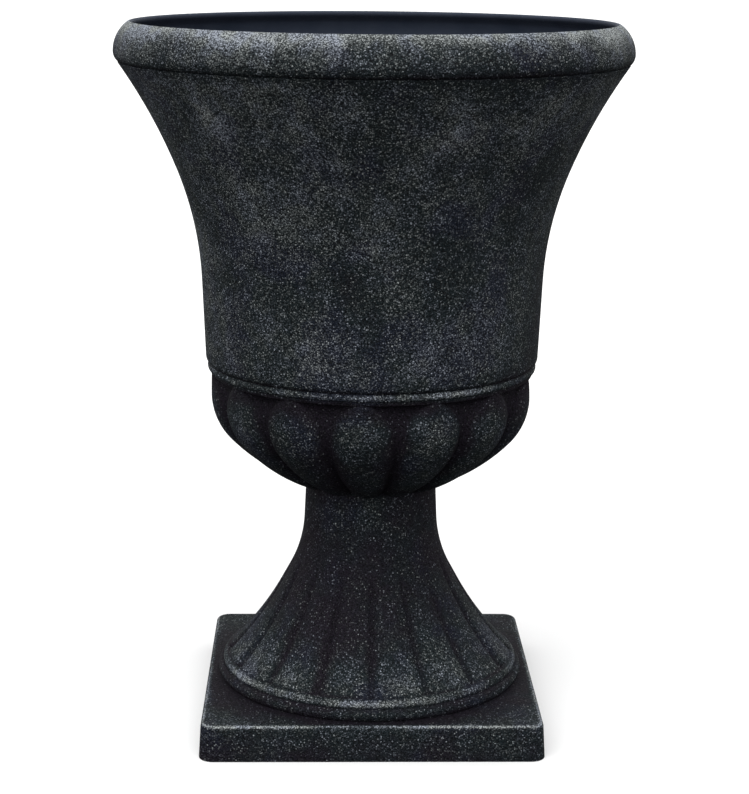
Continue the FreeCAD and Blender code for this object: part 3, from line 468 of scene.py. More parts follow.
def make_bowl():
    """The bowl's skin: valley * (1 - lobe) + crest * lobe, with the lobe's height as the share."""
    below, above, inside = bowl_outline()
    outer = path(below, valley, above, inside)
    over = path(below, crest, above, inside)
    widths = np.concatenate([np.full(len(below), FOOT_WIDTH), width,
                             np.full(len(above) + len(inside), EVEN_WIDTH)])
    across = lobe_columns(widths, LOBE_COLUMNS, VALLEY_COLUMNS)
    half_pitch = np.pi / GADROONS * over[:, 0]
    lobe = lobe_height(across, widths[:, None], half_pitch[:, None])
    point = outer[:, None] + (over - outer)[:, None] * lobe[..., None]
    radius, height = (np.tile(part, (1, GADROONS)) for part in (point[..., 0], point[..., 1]))
    lobes = np.repeat(np.arange(GADROONS), across.shape[1])
    angle = GADROON_TURN + 2 * np.pi / GADROONS * (lobes + np.tile(across, (1, GADROONS)) / 2)

    gadrooned = np.zeros(len(outer))
    gadrooned[len(below):len(below) + len(valley)] = 1
    stands_out = 1 - gadrooned[:, None] * (1 - np.tile(lobe, (1, GADROONS)) ** HOLLOW_SHYNESS)
    bare = np.zeros(len(outer))
    bare[len(outer) - len(inside):] = 1
    bare[len(outer) - len(inside) + 1:][:LIP_ROWS] = LIP_BARE
    # Paint, and painted highlight over the rim's top and along the lip.
    dusting = paint_and_highlight_at(height, BOWL_PAINT_AND_LIP_HIGHLIGHT) * stands_out * (bare[:, None] == 0)
    dusting *= strokes_and_painted_light(angle, radius, height, BOWL_STROKES)
    marks = {"dusting": dusting, "bare": np.repeat(bare, radius.shape[1])}
    return mesh_piece("urn_bowl", ring_skin(radius, height, angle), marks)


urn_bowl = make_bowl()
stands_for(urn_bowl, "bowl", "urn")

# %% [markdown]
# ## The pedestal
# The neck spreads into a skirt with sixteen reeds, which end on a bead and a half-round ring.
# Below it the round outline has to become the square of the plinth. In the grid that is only a
# change of radius: along a ray at some angle, the distance to a square with round corners is
# either its flat side's or its corner arc's. The outline then goes on underneath: up inside the
# plinth and the skirt to the deck, through the drain hole and into the socket for the bowl.

# %% Sizes of the pedestal
NECK_LEAN, NECK_FOOT = np.radians(2.5), 155.1 * MM
THROAT_RADIUS, SKIRT_LEAN, SKIRT_STRAIGHT = 97 * MM, np.radians(28.6), 13.3 * MM
SKIRT_FOOT = np.array([112.6 * MM, 44 * MM])
REEDS, REED_COLUMNS = 16, 16
REED_DEPTH, REED_FADE = 3.4 * MM, 20 * MM
VALLEY_SHARE = 0.18             # half width of a valley over half a reed
CROWN_DROP = 0.9 * MM           # how far a reed falls from its middle to its side
INNER_WALL = 5.5 * MM
BEAD_WIDE, BEAD_TOP, BEAD_CURVE = 116.6 * MM, 43.6 * MM, 5 * MM
RING_RADIUS, RING_BULGE, RING_TOP = 121 * MM, 2 * MM, 36.6 * MM
PLINTH_TOP, PLINTH_HALF, PLINTH_DRAFT = 27.5 * MM, 130.4 * MM, np.radians(3.3)
PLINTH_CORNER, PLINTH_EDGE, PLINTH_SOLE = 11 * MM, 3 * MM, 0.8 * MM
LEAST_CORNER = 0.5 * MM         # of the plinth, on the inner side of its wall
DECK_TOP, DECK_BOTTOM, DECK_DRAIN = 177.7 * MM, 171.7 * MM, 15 * MM
SOCKET_RADIUS = 45.9 * MM

print("Plinth's sole:", round(2 * PLINTH_HALF, 4), "m wide")

# %% Neck, throat, skirt and foot ring


def neck_at(level, depth):
    """Point of the neck at a level, that deep inside its face."""
    reach = NECK_RADIUS + (SEAM - level) * np.tan(NECK_LEAN)
    return np.array([reach - depth / np.cos(NECK_LEAN), level])


def throat_foot(depth):
    """Where the throat's arc runs into the straight of the skirt, that deep inside."""
    start = neck_at(NECK_FOOT, 0)
    turn = np.array([np.cos(NECK_LEAN) - np.cos(SKIRT_LEAN), np.sin(NECK_LEAN) - np.sin(SKIRT_LEAN)])
    return start + THROAT_RADIUS * turn - depth * np.array([np.cos(SKIRT_LEAN), np.sin(SKIRT_LEAN)])


def skirt_outside():
    """Neck, throat and skirt from the seam down to the bead."""
    neck, throat = neck_at(NECK_FOOT, 0), throat_foot(0)
    straight = throat + SKIRT_STRAIGHT * np.array([np.tan(SKIRT_LEAN), -1])
    bend = closing_radius(straight, SKIRT_FOOT, SKIRT_LEAN)
    return path((NECK_RADIUS, SEAM), line((NECK_RADIUS, SEAM), neck, 5),
                arc(neck, throat, THROAT_RADIUS, LEFT, 18), line(throat, straight, 5),
                arc(straight, SKIRT_FOOT, bend, LEFT, 26))


def foot_ring():
    """Bead and half-round ring under the skirt, down to the plinth."""
    waist = RING_RADIUS - RING_BULGE
    bead_top, bead_foot = (SKIRT_FOOT[0], BEAD_TOP), (BEAD_WIDE, RING_TOP)
    ring_top, ring_foot = (waist, RING_TOP), (waist, PLINTH_TOP)
    half = (RING_TOP - PLINTH_TOP) / 2
    bend = (RING_BULGE ** 2 + half ** 2) / (2 * RING_BULGE)
    return path(bead_top, arc(bead_top, bead_foot, BEAD_CURVE, RIGHT, 8),
                line(bead_foot, ring_top, 1), arc(ring_top, ring_foot, bend, RIGHT, 8))


def skirt_inside():
    """Inner face from the plinth's underside up to the deck, through its hole and the socket."""
    inner = SKIRT_FOOT + np.array([-INNER_WALL, -INNER_WALL / 2])
    throat = throat_foot(INNER_WALL)
    straight = throat + SKIRT_STRAIGHT * np.array([np.tan(SKIRT_LEAN), -1])
    bend = closing_radius(straight, inner, SKIRT_LEAN)
    neck = neck_at(NECK_FOOT - INNER_WALL * np.sin(NECK_LEAN), INNER_WALL)
    deck_edge = neck_at(DECK_BOTTOM, INNER_WALL)
    hole_foot, hole_top = (DECK_DRAIN, DECK_BOTTOM), (DECK_DRAIN, DECK_TOP)
    socket_foot, socket_top = (SOCKET_RADIUS, DECK_TOP), (SOCKET_RADIUS, SEAM)
    ring_inside = RING_RADIUS - INNER_WALL
    ring_low = (ring_inside, PLINTH_TOP - INNER_WALL)
    ring_high = (ring_inside, PLINTH_TOP + INNER_WALL)
    return path(ring_low, ring_high, line(ring_high, inner, 2),
                arc(inner, straight, bend, RIGHT, 10), line(straight, throat, 2),
                arc(throat, neck, THROAT_RADIUS + INNER_WALL, RIGHT, 8), line(neck, deck_edge, 2),
                line(deck_edge, hole_foot, 3), hole_top, line(hole_top, socket_foot, 3), socket_top)


print("The skirt's straight starts at", throat_foot(0).round(4))

# %% A round outline that becomes a square


def square_distance(angle, half, corner):
    """Distance from the axis, along a ray, to a square with round corners.

    With a = |cos| and b = |sin| of the angle, a flat side is half / max(a, b) away. Where that
    point lies past the start of the corner, it is the corner circle's far crossing instead:
    c(a + b) + root(corner squared - c squared (a - b) squared), with c = half - corner.
    """
    a, b = np.abs(np.cos(angle)), np.abs(np.sin(angle))
    flat = half / np.maximum(a, b)
    c = half - corner
    round_part = c * (a + b) + np.sqrt(np.clip(corner ** 2 - (c * (a - b)) ** 2, 0, None))
    return np.where(flat * np.minimum(a, b) > c, round_part, flat)


def plinth_rows(angle):
    """Radius and height of the plinth's rows: top, softened edge, side, sole and inner side."""
    edge = np.linspace(0, np.pi / 2, 7)
    inset = PLINTH_EDGE * (1 - np.sin(edge))
    drop = PLINTH_EDGE * (1 - np.cos(edge))
    sole = np.linspace(0, np.pi / 2, 4)
    side = np.linspace(PLINTH_TOP - PLINTH_EDGE, PLINTH_SOLE, 6)[1:-1]
    height = np.concatenate([PLINTH_TOP - drop, side, PLINTH_SOLE * (1 - np.sin(sole))])
    inset = np.concatenate([inset, np.zeros(len(side)), PLINTH_SOLE * (1 - np.cos(sole))])
    wall_height = np.array([0, PLINTH_TOP - INNER_WALL])
    wall_inset = np.full(2, INNER_WALL)
    height, inset = np.concatenate([height, wall_height]), np.concatenate([inset, wall_inset])
    half = PLINTH_HALF - height * np.tan(PLINTH_DRAFT) - inset
    corner = np.maximum(PLINTH_CORNER - inset, LEAST_CORNER)
    radius = square_distance(angle[None, :], half[:, None], corner[:, None])
    return radius, np.repeat(height[:, None], len(angle), 1)


print("Plinth across its corners:", round(2 * square_distance(np.pi / 4, PLINTH_HALF, PLINTH_CORNER), 4))

# %% [markdown]
# ## Reeds with soft valleys
# The skirt is not fluted with grooves but reeded: wide, almost flat convex reeds with a soft
# valley between each two. The valleys start on the bead and fade out up the throat. They are
# sunk into the turned skirt along its own normal, by a bell curve across the valley.

# %% Valleys, brushed levels and painted highlights
# The skirt's rise from 37.5 to 42.2 mm is paint and also a painted highlight on the top of the foot's
# bead.
SKIRT_PAINT_AND_BEAD_HIGHLIGHT = {27.5: 0.05, 33: 0.4, 36.5: 0.15, 37.5: 0.55, 39.5: 0.92, 42.2: 0.78, 43.4: 0.2,
                 46: 0.58, 60: 0.46, 75: 0.31, 100: 0.18, 130: 0.12, 165: 0.24, 184: 0.18}
# The plinth's peak from 26.8 to 27.35 mm is a painted highlight: a bright line along its top edge.
PLINTH_PAINT_AND_EDGE_HIGHLIGHT = {0: 0.26, 15: 0.33, 23: 0.38, 26.2: 0.55, 26.8: 1.45, 27.35: 1.45, 27.5: 0.5}
CORNER_BRUSHED = 0.37
VALLEY_CLEAN, CLEAN_REACH = 0.75, 1.4   # share of the paint a valley lacks, over a wider bell
# Spots at level 40 make the foot's bead brighter to the left-front and darker on the right, painted
# light from that side; spots at 26.8 shape the painted highlight along the plinth's edge.
PEDESTAL_STROKES_AND_PAINTED_LIGHT = ((-33, 52, 20, 12, 0.7), (-64, 48, 26, 14, 0.5), (18, 56, 26, 14, 0.35),
                    (44, 52, 24, 10, 0.35), (-12, 40, 34, 3, 0.9), (-62, 40, 30, 3, 0.7),
                    (58, 40, 30, 3, -0.4), (-38, 26.8, 26, 1, 0.9), (30, 26.8, 34, 1, 0.9),
                    (-4, 26.8, 22, 1, -0.4), (-6, 172, 12, 14, 0.8))
REACH_TO_CORNER = 40 * MM


def sunk_valleys(outside, across):
    """Depth of the valleys in the skirt, and how much of it there is, for each row and column.

    With s the share of half a reed from the valley, the depth is a bell, exp(-(s / share)
    squared), plus the reed's own fall, (1 - s) squared. Both fade out towards the throat.
    """
    fade_top = throat_foot(0)[1] + REED_FADE
    fade = np.clip((fade_top - outside[:, 1]) / (fade_top - SKIRT_FOOT[1]), 0, 1)
    fade = np.sqrt(fade * (2 - fade)) * np.clip(fade * 4, 0, 1)
    from_valley = 1 - np.abs(across)
    bell = np.exp(-(from_valley / VALLEY_SHARE) ** 2)
    depth = (REED_DEPTH - CROWN_DROP) * bell + CROWN_DROP * (1 - from_valley) ** 2
    clean = np.exp(-(from_valley / (CLEAN_REACH * VALLEY_SHARE)) ** 2)
    return fade[:, None] * depth, fade[:, None] * clean


print("Valleys fade out at", round(throat_foot(0)[1] + REED_FADE, 4))

# %% The whole pedestal


def make_pedestal():
    """The pedestal's skin: turned rows less their valleys, rows that become the square, inner face."""
    outside, ring, inside = skirt_outside(), foot_ring(), skirt_inside()
    across = np.tile(lobe_columns(np.ones(1), REED_COLUMNS, 0)[0], REEDS)
    reed = np.repeat(np.arange(REEDS), 2 * REED_COLUMNS) + 0.5
    angle = 2 * np.pi / REEDS * (reed + across / 2)

    along = np.gradient(outside, axis=0)
    normal = np.stack([-along[:, 1], along[:, 0]], 1) / np.hypot(*along.T)[:, None]
    sunk, clean = sunk_valleys(outside, across)
    skirt = outside[:, None] - normal[:, None] * sunk[..., None]

    def turned(outline):
        """An outline carried round without change."""
        return np.repeat(outline[:, None], len(angle), 1)

    plinth_radius, plinth_height = plinth_rows(angle)
    top = np.linspace(0, 1, 8)[1:-1, None]
    flat_radius = (RING_RADIUS - RING_BULGE) * (1 - top) + plinth_radius[0] * top
    flat_height = np.full_like(flat_radius, PLINTH_TOP)
    ring_grid, inner_grid = turned(ring), turned(inside)
    flat, plinth = np.stack([flat_radius, flat_height], -1), np.stack([plinth_radius, plinth_height], -1)
    rows = np.concatenate([skirt, ring_grid, flat, plinth, inner_grid])
    radius, height = rows[..., 0], rows[..., 1]
    angles = np.repeat(angle[None, :], len(radius), 0)

    reach = np.clip((flat_radius - RING_RADIUS) / REACH_TO_CORNER, 0, 1)
    # Paint on the outer rows, and painted highlight on the foot's bead and the plinth's edge.
    outer_paint_and_highlight = [paint_and_highlight_at(outside[:, 1], SKIRT_PAINT_AND_BEAD_HIGHLIGHT)[:, None] * (1 - VALLEY_CLEAN * clean),
                     paint_and_highlight_at(ring_grid[..., 1], SKIRT_PAINT_AND_BEAD_HIGHLIGHT), CORNER_BRUSHED * reach,
                     paint_and_highlight_at(plinth_height[:-2], PLINTH_PAINT_AND_EDGE_HIGHLIGHT)]
    hidden_rows = len(radius) - sum(len(part) for part in outer_paint_and_highlight)
    dusting = np.concatenate([*outer_paint_and_highlight, np.zeros((hidden_rows, len(angle)))])
    dusting *= strokes_and_painted_light(angles, radius, height, PEDESTAL_STROKES_AND_PAINTED_LIGHT)
    bare = np.zeros(len(radius))
    bare[len(radius) - hidden_rows:] = 1
    marks = {"dusting": dusting, "bare": np.repeat(bare, radius.shape[1])}
    return mesh_piece("urn_pedestal", ring_skin(radius, height, angles), marks)


urn_pedestal = make_pedestal()
stands_for(urn_pedestal, "pedestal", "urn")

# %% [markdown]
# ## Screws, washers, bosses and plug
# Four pan-head screws come down through soft washers into bosses under the pedestal's deck. The
# CAD model keeps them plain. Here the screws get a thread, which is a radius that rises and
# falls with the height less the turn, and a cross recess, which is a height that drops where a
# point of the head is near either of two lines through its middle.

# %% The places of the screws
SCREWS, SCREW_CIRCLE, SCREW_TURN = 4, 30 * MM, np.radians(45)
WASHER_THICK, WASHER_RADIUS, CLEAR_HOLE = 1.4 * MM, 6.2 * MM, 2.7 * MM
HEAD_SEAT = FLOOR_TOP + WASHER_THICK
SHAFT_RADIUS, SCREW_REACH, POINT_LENGTH, POINT_RADIUS = 2.1 * MM, 24 * MM, 4 * MM, 0.6 * MM
HEAD_RADIUS, HEAD_HEIGHT, CROWN_RADIUS = 4.4 * MM, 3 * MM, 2.6 * MM
THREAD_PITCH, THREAD_DEPTH, THREAD_FREE = 1.4 * MM, 0.45 * MM, 2 * MM
SLOT_HALF, SLOT_REACH, SLOT_DEPTH = 0.42 * MM, 2.1 * MM, 1.5 * MM
SLOT_WALL, SLOT_END = 0.15 * MM, 0.5 * MM
POLE_GAP = 0.25 * MM            # radius of the smallest ring of points round a pole

turns = SCREW_TURN + 2 * np.pi / SCREWS * np.arange(SCREWS)
screw_places = SCREW_CIRCLE * np.stack([np.cos(turns), np.sin(turns), 0 * turns], 1)
print("Screws at", screw_places.round(4).tolist())


def even_angles(columns):
    """Angles once round, without the last one, which is the first again."""
    return 2 * np.pi * np.arange(columns) / columns


def turned_grid(outline, columns):
    """Radius, height and angle of an outline carried round an axis."""
    angle = np.repeat(even_angles(columns)[None], len(outline), 0)
    return np.repeat(outline[:, :1], columns, 1), np.repeat(outline[:, 1:], columns, 1), angle


# %% Screws with a thread and a cross recess


def make_screws():
    """Screws: a turned outline, whose shaft's radius waves and whose head's height drops.

    The wave is cos(2 pi (height / pitch - turn)). The drop is the slot's depth where the nearer
    of |x| and |y| is within the slot's half width and the other within its reach.
    """
    tip = HEAD_SEAT - SCREW_REACH
    point_top, head_top = tip + POINT_LENGTH, HEAD_SEAT + HEAD_HEIGHT
    shaft = path((POINT_RADIUS, tip), line((POINT_RADIUS, tip), (SHAFT_RADIUS, point_top), 14),
                 line((SHAFT_RADIUS, point_top), (SHAFT_RADIUS, HEAD_SEAT), 80))
    rim, crown = (HEAD_RADIUS, HEAD_SEAT), (CROWN_RADIUS, head_top)
    head = path(rim, arc(rim, crown, closing_radius(rim, crown, 0), LEFT, 8),
                line(crown, (POLE_GAP, head_top), 14))
    radius, height, angle = turned_grid(path(shaft, head), 48)

    wave = np.cos(2 * np.pi * (height / THREAD_PITCH - angle / (2 * np.pi)))
    threaded = np.clip((HEAD_SEAT - THREAD_FREE - height) / MM, 0, 1)
    threaded *= np.clip((height - tip) / POINT_LENGTH, 0, 1)
    radius[:len(shaft)] -= (THREAD_DEPTH * threaded * (0.5 - 0.5 * wave))[:len(shaft)]

    x, y = np.abs(radius * np.cos(angle)), np.abs(radius * np.sin(angle))
    near, far = np.minimum(x, y), np.maximum(x, y)
    slot = np.clip((SLOT_HALF - near) / SLOT_WALL + 0.5, 0, 1)
    slot *= np.clip((SLOT_REACH - far) / SLOT_END, 0, 1)
    height[len(shaft):] -= (SLOT_DEPTH * slot)[len(shaft):]
    skin = solid_skin(radius, height, angle, tip, head_top - SLOT_DEPTH)
    return mesh_piece("pan_screws", side_by_side(skin, screw_places))


pan_screws = make_screws()
stands_for(pan_screws, "joining_screws", "urn")

# %% Washers and bosses


def rounded_oblong(columns, powers):
    """Across and up, from -1 to 1: the sign of cosine and sine times their size to a low power."""
    waves = np.cos(even_angles(columns)), np.sin(even_angles(columns))
    return [np.sign(wave) * np.abs(wave) ** power for wave, power in zip(waves, powers)]


def make_washers():
    """Flat soft rings, rounded where the screw's head squeezes them out."""
    middle = (WASHER_RADIUS + CLEAR_HOLE) / 2
    across, up = rounded_oblong(24, (0.4, 0.5))
    outline = np.stack([middle + (WASHER_RADIUS - middle) * across,
                        FLOOR_TOP + WASHER_THICK / 2 * (1 + up)], 1)
    skin = ring_skin(*turned_grid(outline, 40))
    return mesh_piece("rubber_washers", side_by_side(skin, screw_places))


BOSS_RADIUS, BOSS_DEPTH, PILOT_RADIUS = 6.5 * MM, 17 * MM, 2.15 * MM
BOSS_EDGE, BOSS_FLARE, FLARE_BEND = 0.6 * MM, 1.5 * MM, 8 * MM


def make_bosses():
    """Tubes under the deck, a little rounded at the foot and flared where they grow out of it."""
    foot, top = DECK_BOTTOM - BOSS_DEPTH, DECK_BOTTOM + MM
    edge, side = (BOSS_RADIUS - BOSS_EDGE, foot), (BOSS_RADIUS, foot + BOSS_EDGE)
    root, flared = (BOSS_RADIUS, DECK_BOTTOM - 2 * BOSS_FLARE), (BOSS_RADIUS + BOSS_FLARE, top)
    outline = path((PILOT_RADIUS, foot), edge, arc(edge, side, BOSS_EDGE, LEFT, 4),
                   line(side, root, 3), arc(root, flared, FLARE_BEND, RIGHT, 5),
                   (PILOT_RADIUS, top))
    skin = side_by_side(ring_skin(*turned_grid(outline, 36)), screw_places)
    count = len(skin[0])
    return mesh_piece("screw_bosses", skin, {"dusting": np.zeros(count), "bare": np.ones(count)})


rubber_washers, screw_bosses = make_washers(), make_bosses()
stands_for(rubber_washers, "sealing_washers", "urn")
stands_for(screw_bosses, "pedestal", "urn")

# %% The drain plug
PLUG_STEM, PLUG_TIP, STEM_DEPTH = 9.7 * MM, 9.2 * MM, 9 * MM
FLANGE_RADIUS, FLANGE_THICK = 15 * MM, 2.6 * MM
TAB_HALF, TAB_HEIGHT, TAB_THICK, EYE_RADIUS = 7.5 * MM, 13 * MM, 4 * MM, 3.2 * MM
NEARLY_ZERO = 1e-6      # keeps a division from failing where a ray runs level or upright
RIB_DEPTH, RIBS, RIB_MARGIN, TIP_ROUND = 0.35 * MM, 3, 0.1 * MM, 1.2 * MM


def make_stopper():
    """Flange and ribbed stem: the stem's radius waves in and out with the height."""
    foot, top = FLOOR_TOP - STEM_DEPTH, FLOOR_TOP + FLANGE_THICK
    round_foot, round_top = (PLUG_TIP - TIP_ROUND, foot), (PLUG_TIP, foot + TIP_ROUND)
    stem_top, under_edge = (PLUG_STEM, FLOOR_TOP), (FLANGE_RADIUS, FLOOR_TOP)
    stem = path(line((2 * POLE_GAP, foot), round_foot, 3),
                arc(round_foot, round_top, TIP_ROUND, LEFT, 5), line(round_top, stem_top, 24))
    wave = 0.5 - 0.5 * np.cos(2 * np.pi * RIBS * (stem[:, 1] - foot) / STEM_DEPTH)
    stem[:, 0] -= RIB_DEPTH * wave * (stem[:, 0] > PLUG_TIP - RIB_MARGIN)
    rim = FLANGE_THICK / 2
    side, crown = (FLANGE_RADIUS, FLOOR_TOP + rim), (FLANGE_RADIUS - rim, top)
    flange = path(line(stem_top, under_edge, 2), side, arc(side, crown, rim, LEFT, 6),
                  line(crown, (2 * POLE_GAP, top), 5))
    radius, height, angle = turned_grid(path(stem, flange), 64)
    return mesh_piece("plug_stopper", solid_skin(radius, height, angle, foot, top))


def make_tab():
    """Upright tab with an eye: a ring round the eye, with its outside round above, square below.

    Along a ray from the eye's centre the outside is a circle above the eye and the nearer of two
    straight sides below it. The section of the ring is a rounded oblong.
    """
    angle = even_angles(96)
    eye_level = FLOOR_TOP + FLANGE_THICK + TAB_HEIGHT - TAB_HALF
    down = eye_level - FLOOR_TOP - FLANGE_THICK / 2
    beside = TAB_HALF / np.maximum(np.abs(np.cos(angle)), NEARLY_ZERO)
    beneath = down / np.maximum(-np.sin(angle), NEARLY_ZERO)
    outside = np.where(np.sin(angle) > 0, TAB_HALF, np.minimum(beside, beneath))
    level, side = rounded_oblong(28, (0.45, 0.45))
    middle, half = (outside + EYE_RADIUS) / 2, (outside - EYE_RADIUS) / 2
    reach = middle[None] + half[None] * level[:, None]
    points = np.stack([reach * np.cos(angle), np.repeat(TAB_THICK / 2 * side[:, None], len(angle), 1),
                       eye_level + reach * np.sin(angle)], -1).reshape(-1, 3)
    skin = (points, wrapped_quads(len(level), len(angle), True), np.empty((0, 3), int))
    return mesh_piece("plug_tab", skin)


for piece in (make_stopper(), make_tab()):
    stands_for(piece, "drain_plug", "plug")

# %% [markdown]
# ## Shader maths as expressions
# A finish is a small calculation at each point of the surface. Nodes wired by hand are hard to
# read, so one class wraps a socket and lets Python's operators add the Math nodes. Colours are
# mixed with Mix nodes, and any other node is made by one method.

# %% A socket that can be calculated with


def plug_in(socket, value):
    """Link a wire to a socket, or set the socket to a plain value."""
    if isinstance(value, Wire):
        value.tree.links.new(value.socket, socket)
    else:
        socket.default_value = value


class Wire:
    """One output socket of a node tree. Adding, multiplying and so on adds a Math node."""

    def __init__(self, tree, socket):
        self.tree, self.socket = tree, socket

    def node(self, kind, settings=None, output=None, **inputs):
        """New node of a kind: its settings first, then its sockets, and one output as a wire."""
        made = self.tree.nodes.new(kind)
        for name, value in (settings or {}).items():
            setattr(made, name, value)
        for name, value in inputs.items():
            wanted = name.replace("_", " ")
            socket = next(s for s in made.inputs
                          if s.enabled and wanted in (s.name, s.identifier.replace("_", " ")))
            plug_in(socket, value)
        found = made.outputs[output] if output else next(s for s in made.outputs if s.enabled)
        return Wire(self.tree, found)

    def math(self, operation, *values):
        """Math node on wires and plain numbers."""
        made = self.tree.nodes.new("ShaderNodeMath")
        made.operation = operation
        for socket, value in zip(made.inputs, values):
            plug_in(socket, value)
        return Wire(self.tree, made.outputs[0])

    def __add__(self, other):
        return self.math("ADD", self, other)

    def __radd__(self, other):
        return self.math("ADD", other, self)

    def __sub__(self, other):
        return self.math("SUBTRACT", self, other)

    def __rsub__(self, other):
        return self.math("SUBTRACT", other, self)

    def __mul__(self, other):
        return self.math("MULTIPLY", self, other)

    def __rmul__(self, other):
        return self.math("MULTIPLY", other, self)

    def __rpow__(self, other):
        return self.math("POWER", other, self)

    def ramp(self, low, high):
        """Smooth step from 0 at low to 1 at high, or from 1 to 0 where low is the greater."""
        return self.node("ShaderNodeMapRange", {"interpolation_type": "SMOOTHSTEP"},
                         Value=self, From_Min=low, From_Max=high)

    def mix(self, first, second):
        """Colour between two others, with this value as the share of the second."""
        return self.node("ShaderNodeMix", {"data_type": "RGBA"}, Factor_Float=self,
                         A_Color=first, B_Color=second)


print("Operators with a number on the left:", [name for name in vars(Wire) if name.startswith("__r")])

# %% Helpers for a finish


def start_finish(name):
    """New material with its Object coordinates as a wire, and its surface shader."""
    material = bpy.data.materials.new(name)
    material.use_nodes = True
    tree = material.node_tree
    shader = tree.nodes["Principled BSDF"]
    place = Wire(tree, tree.nodes.new("ShaderNodeTexCoord").outputs["Object"])
    return material, shader, place


def feed(shader, **inputs):
    """Link wires to sockets of a surface shader, or set them to plain values."""
    for name, value in inputs.items():
        plug_in(shader.inputs[name.replace("_", " ")], value)


def noise(place, scale, detail=2.0, roughness=0.5):
    """Cloudy value about 0.5, with features about 1 / scale metres across."""
    return place.node("ShaderNodeTexNoise", {}, "Fac", Vector=place, Scale=scale, Detail=detail,
                      Roughness=roughness)


def shift(place, offset):
    """The same pattern read from another place, so that two patterns don't match."""
    return place.node("ShaderNodeVectorMath", {"operation": "ADD"}, Vector=place, Vector_001=offset)


def mark(place, name):
    """A value stored on the points of the mesh."""
    return place.node("ShaderNodeAttribute", {"attribute_name": name}, "Fac")


# %% [markdown]
# ## Brushed charcoal resin
# The moulding's skin is pebbled: low bumps a little over a millimetre apart. Pale paint was
# dragged over it with a nearly dry brush and caught on the tops of the bumps, in clouds. A
# noise pattern with a threshold would join its specks into worms. So a pattern of cells is used:
# each cell is one bump, and its random number says how easily that bump catches paint. It is
# painted where that number passes a threshold that falls with the value on the points and the
# clouds, so well brushed places have more flecks, and they are brighter. Between the bumps lies
# a faint film, which a fine noise makes strong in a few grains and weak in most, and the ground
# there is darkened towards black, which is painted shade in the pits. Where the value is highest,
# on the rim, the lip, the foot's bead and the plinth's edge, a haze joins the flecks; it is
# partly paint and partly painted highlight.

# %% The finish of the two mouldings
PEBBLE_SCALE, GRAIN_SCALE = 820.0, 900.0
CLOUD_SCALE, PATCH_SCALE, TINT_SCALE, SHADE_SCALE = 13.0, 45.0, 24.0, 60.0
WOBBLE_SCALE, WOBBLE, PEBBLE_HEIGHT = 420.0, 1.6 * MM, 0.7 * MM
PATCH_PLACE, TINT_PLACE, SHADE_PLACE = (3.1, 1.7, 5.3), (7.3, 2.9, 0.7), (1.9, 8.3, 4.1)
SPECULAR, FILM, FILM_CONTRAST = 0.07, 0.0195, 2500.0
BOWL_SEED, BOWL_WARMTH, PEDESTAL_SEED, PEDESTAL_WARMTH = 1.3, 1.3, 4.6, 1.35

TEAL, BLUE = (0.0056, 0.0104, 0.0124, 1), (0.0060, 0.0086, 0.0176, 1)
UMBER = (0.0090, 0.0066, 0.0112, 1)
NAVY, FADED_NAVY = (0.031, 0.040, 0.060, 1), (0.041, 0.050, 0.072, 1)
# Near black for the ground between the pebbles: painted shade in the pits.
PIT_SHADE = (0.0008, 0.0010, 0.0013, 1)
PALE_GREEN, PALE_BLUE = (0.352, 0.376, 0.375, 1), (0.335, 0.366, 0.42, 1)


def pebbles(here):
    """Bumps from the cell pattern: how near a bump's middle a point is, and two random numbers."""
    wobble = here.node("ShaderNodeTexNoise", {}, "Color", Vector=here, Scale=WOBBLE_SCALE, Detail=1.0)
    bent = here.node("ShaderNodeVectorMath", {"operation": "MULTIPLY_ADD"}, Vector=wobble,
                     Vector_001=(WOBBLE,) * 3, Vector_002=here)
    distance = here.node("ShaderNodeTexVoronoi", {}, "Distance", Vector=bent, Scale=PEBBLE_SCALE)
    chance = here.node("ShaderNodeTexVoronoi", {}, "Color", Vector=bent, Scale=PEBBLE_SCALE)
    red = here.node("ShaderNodeSeparateColor", {}, "Red", Color=chance)
    green = Wire(here.tree, red.socket.node.outputs["Green"])
    return distance, red, green


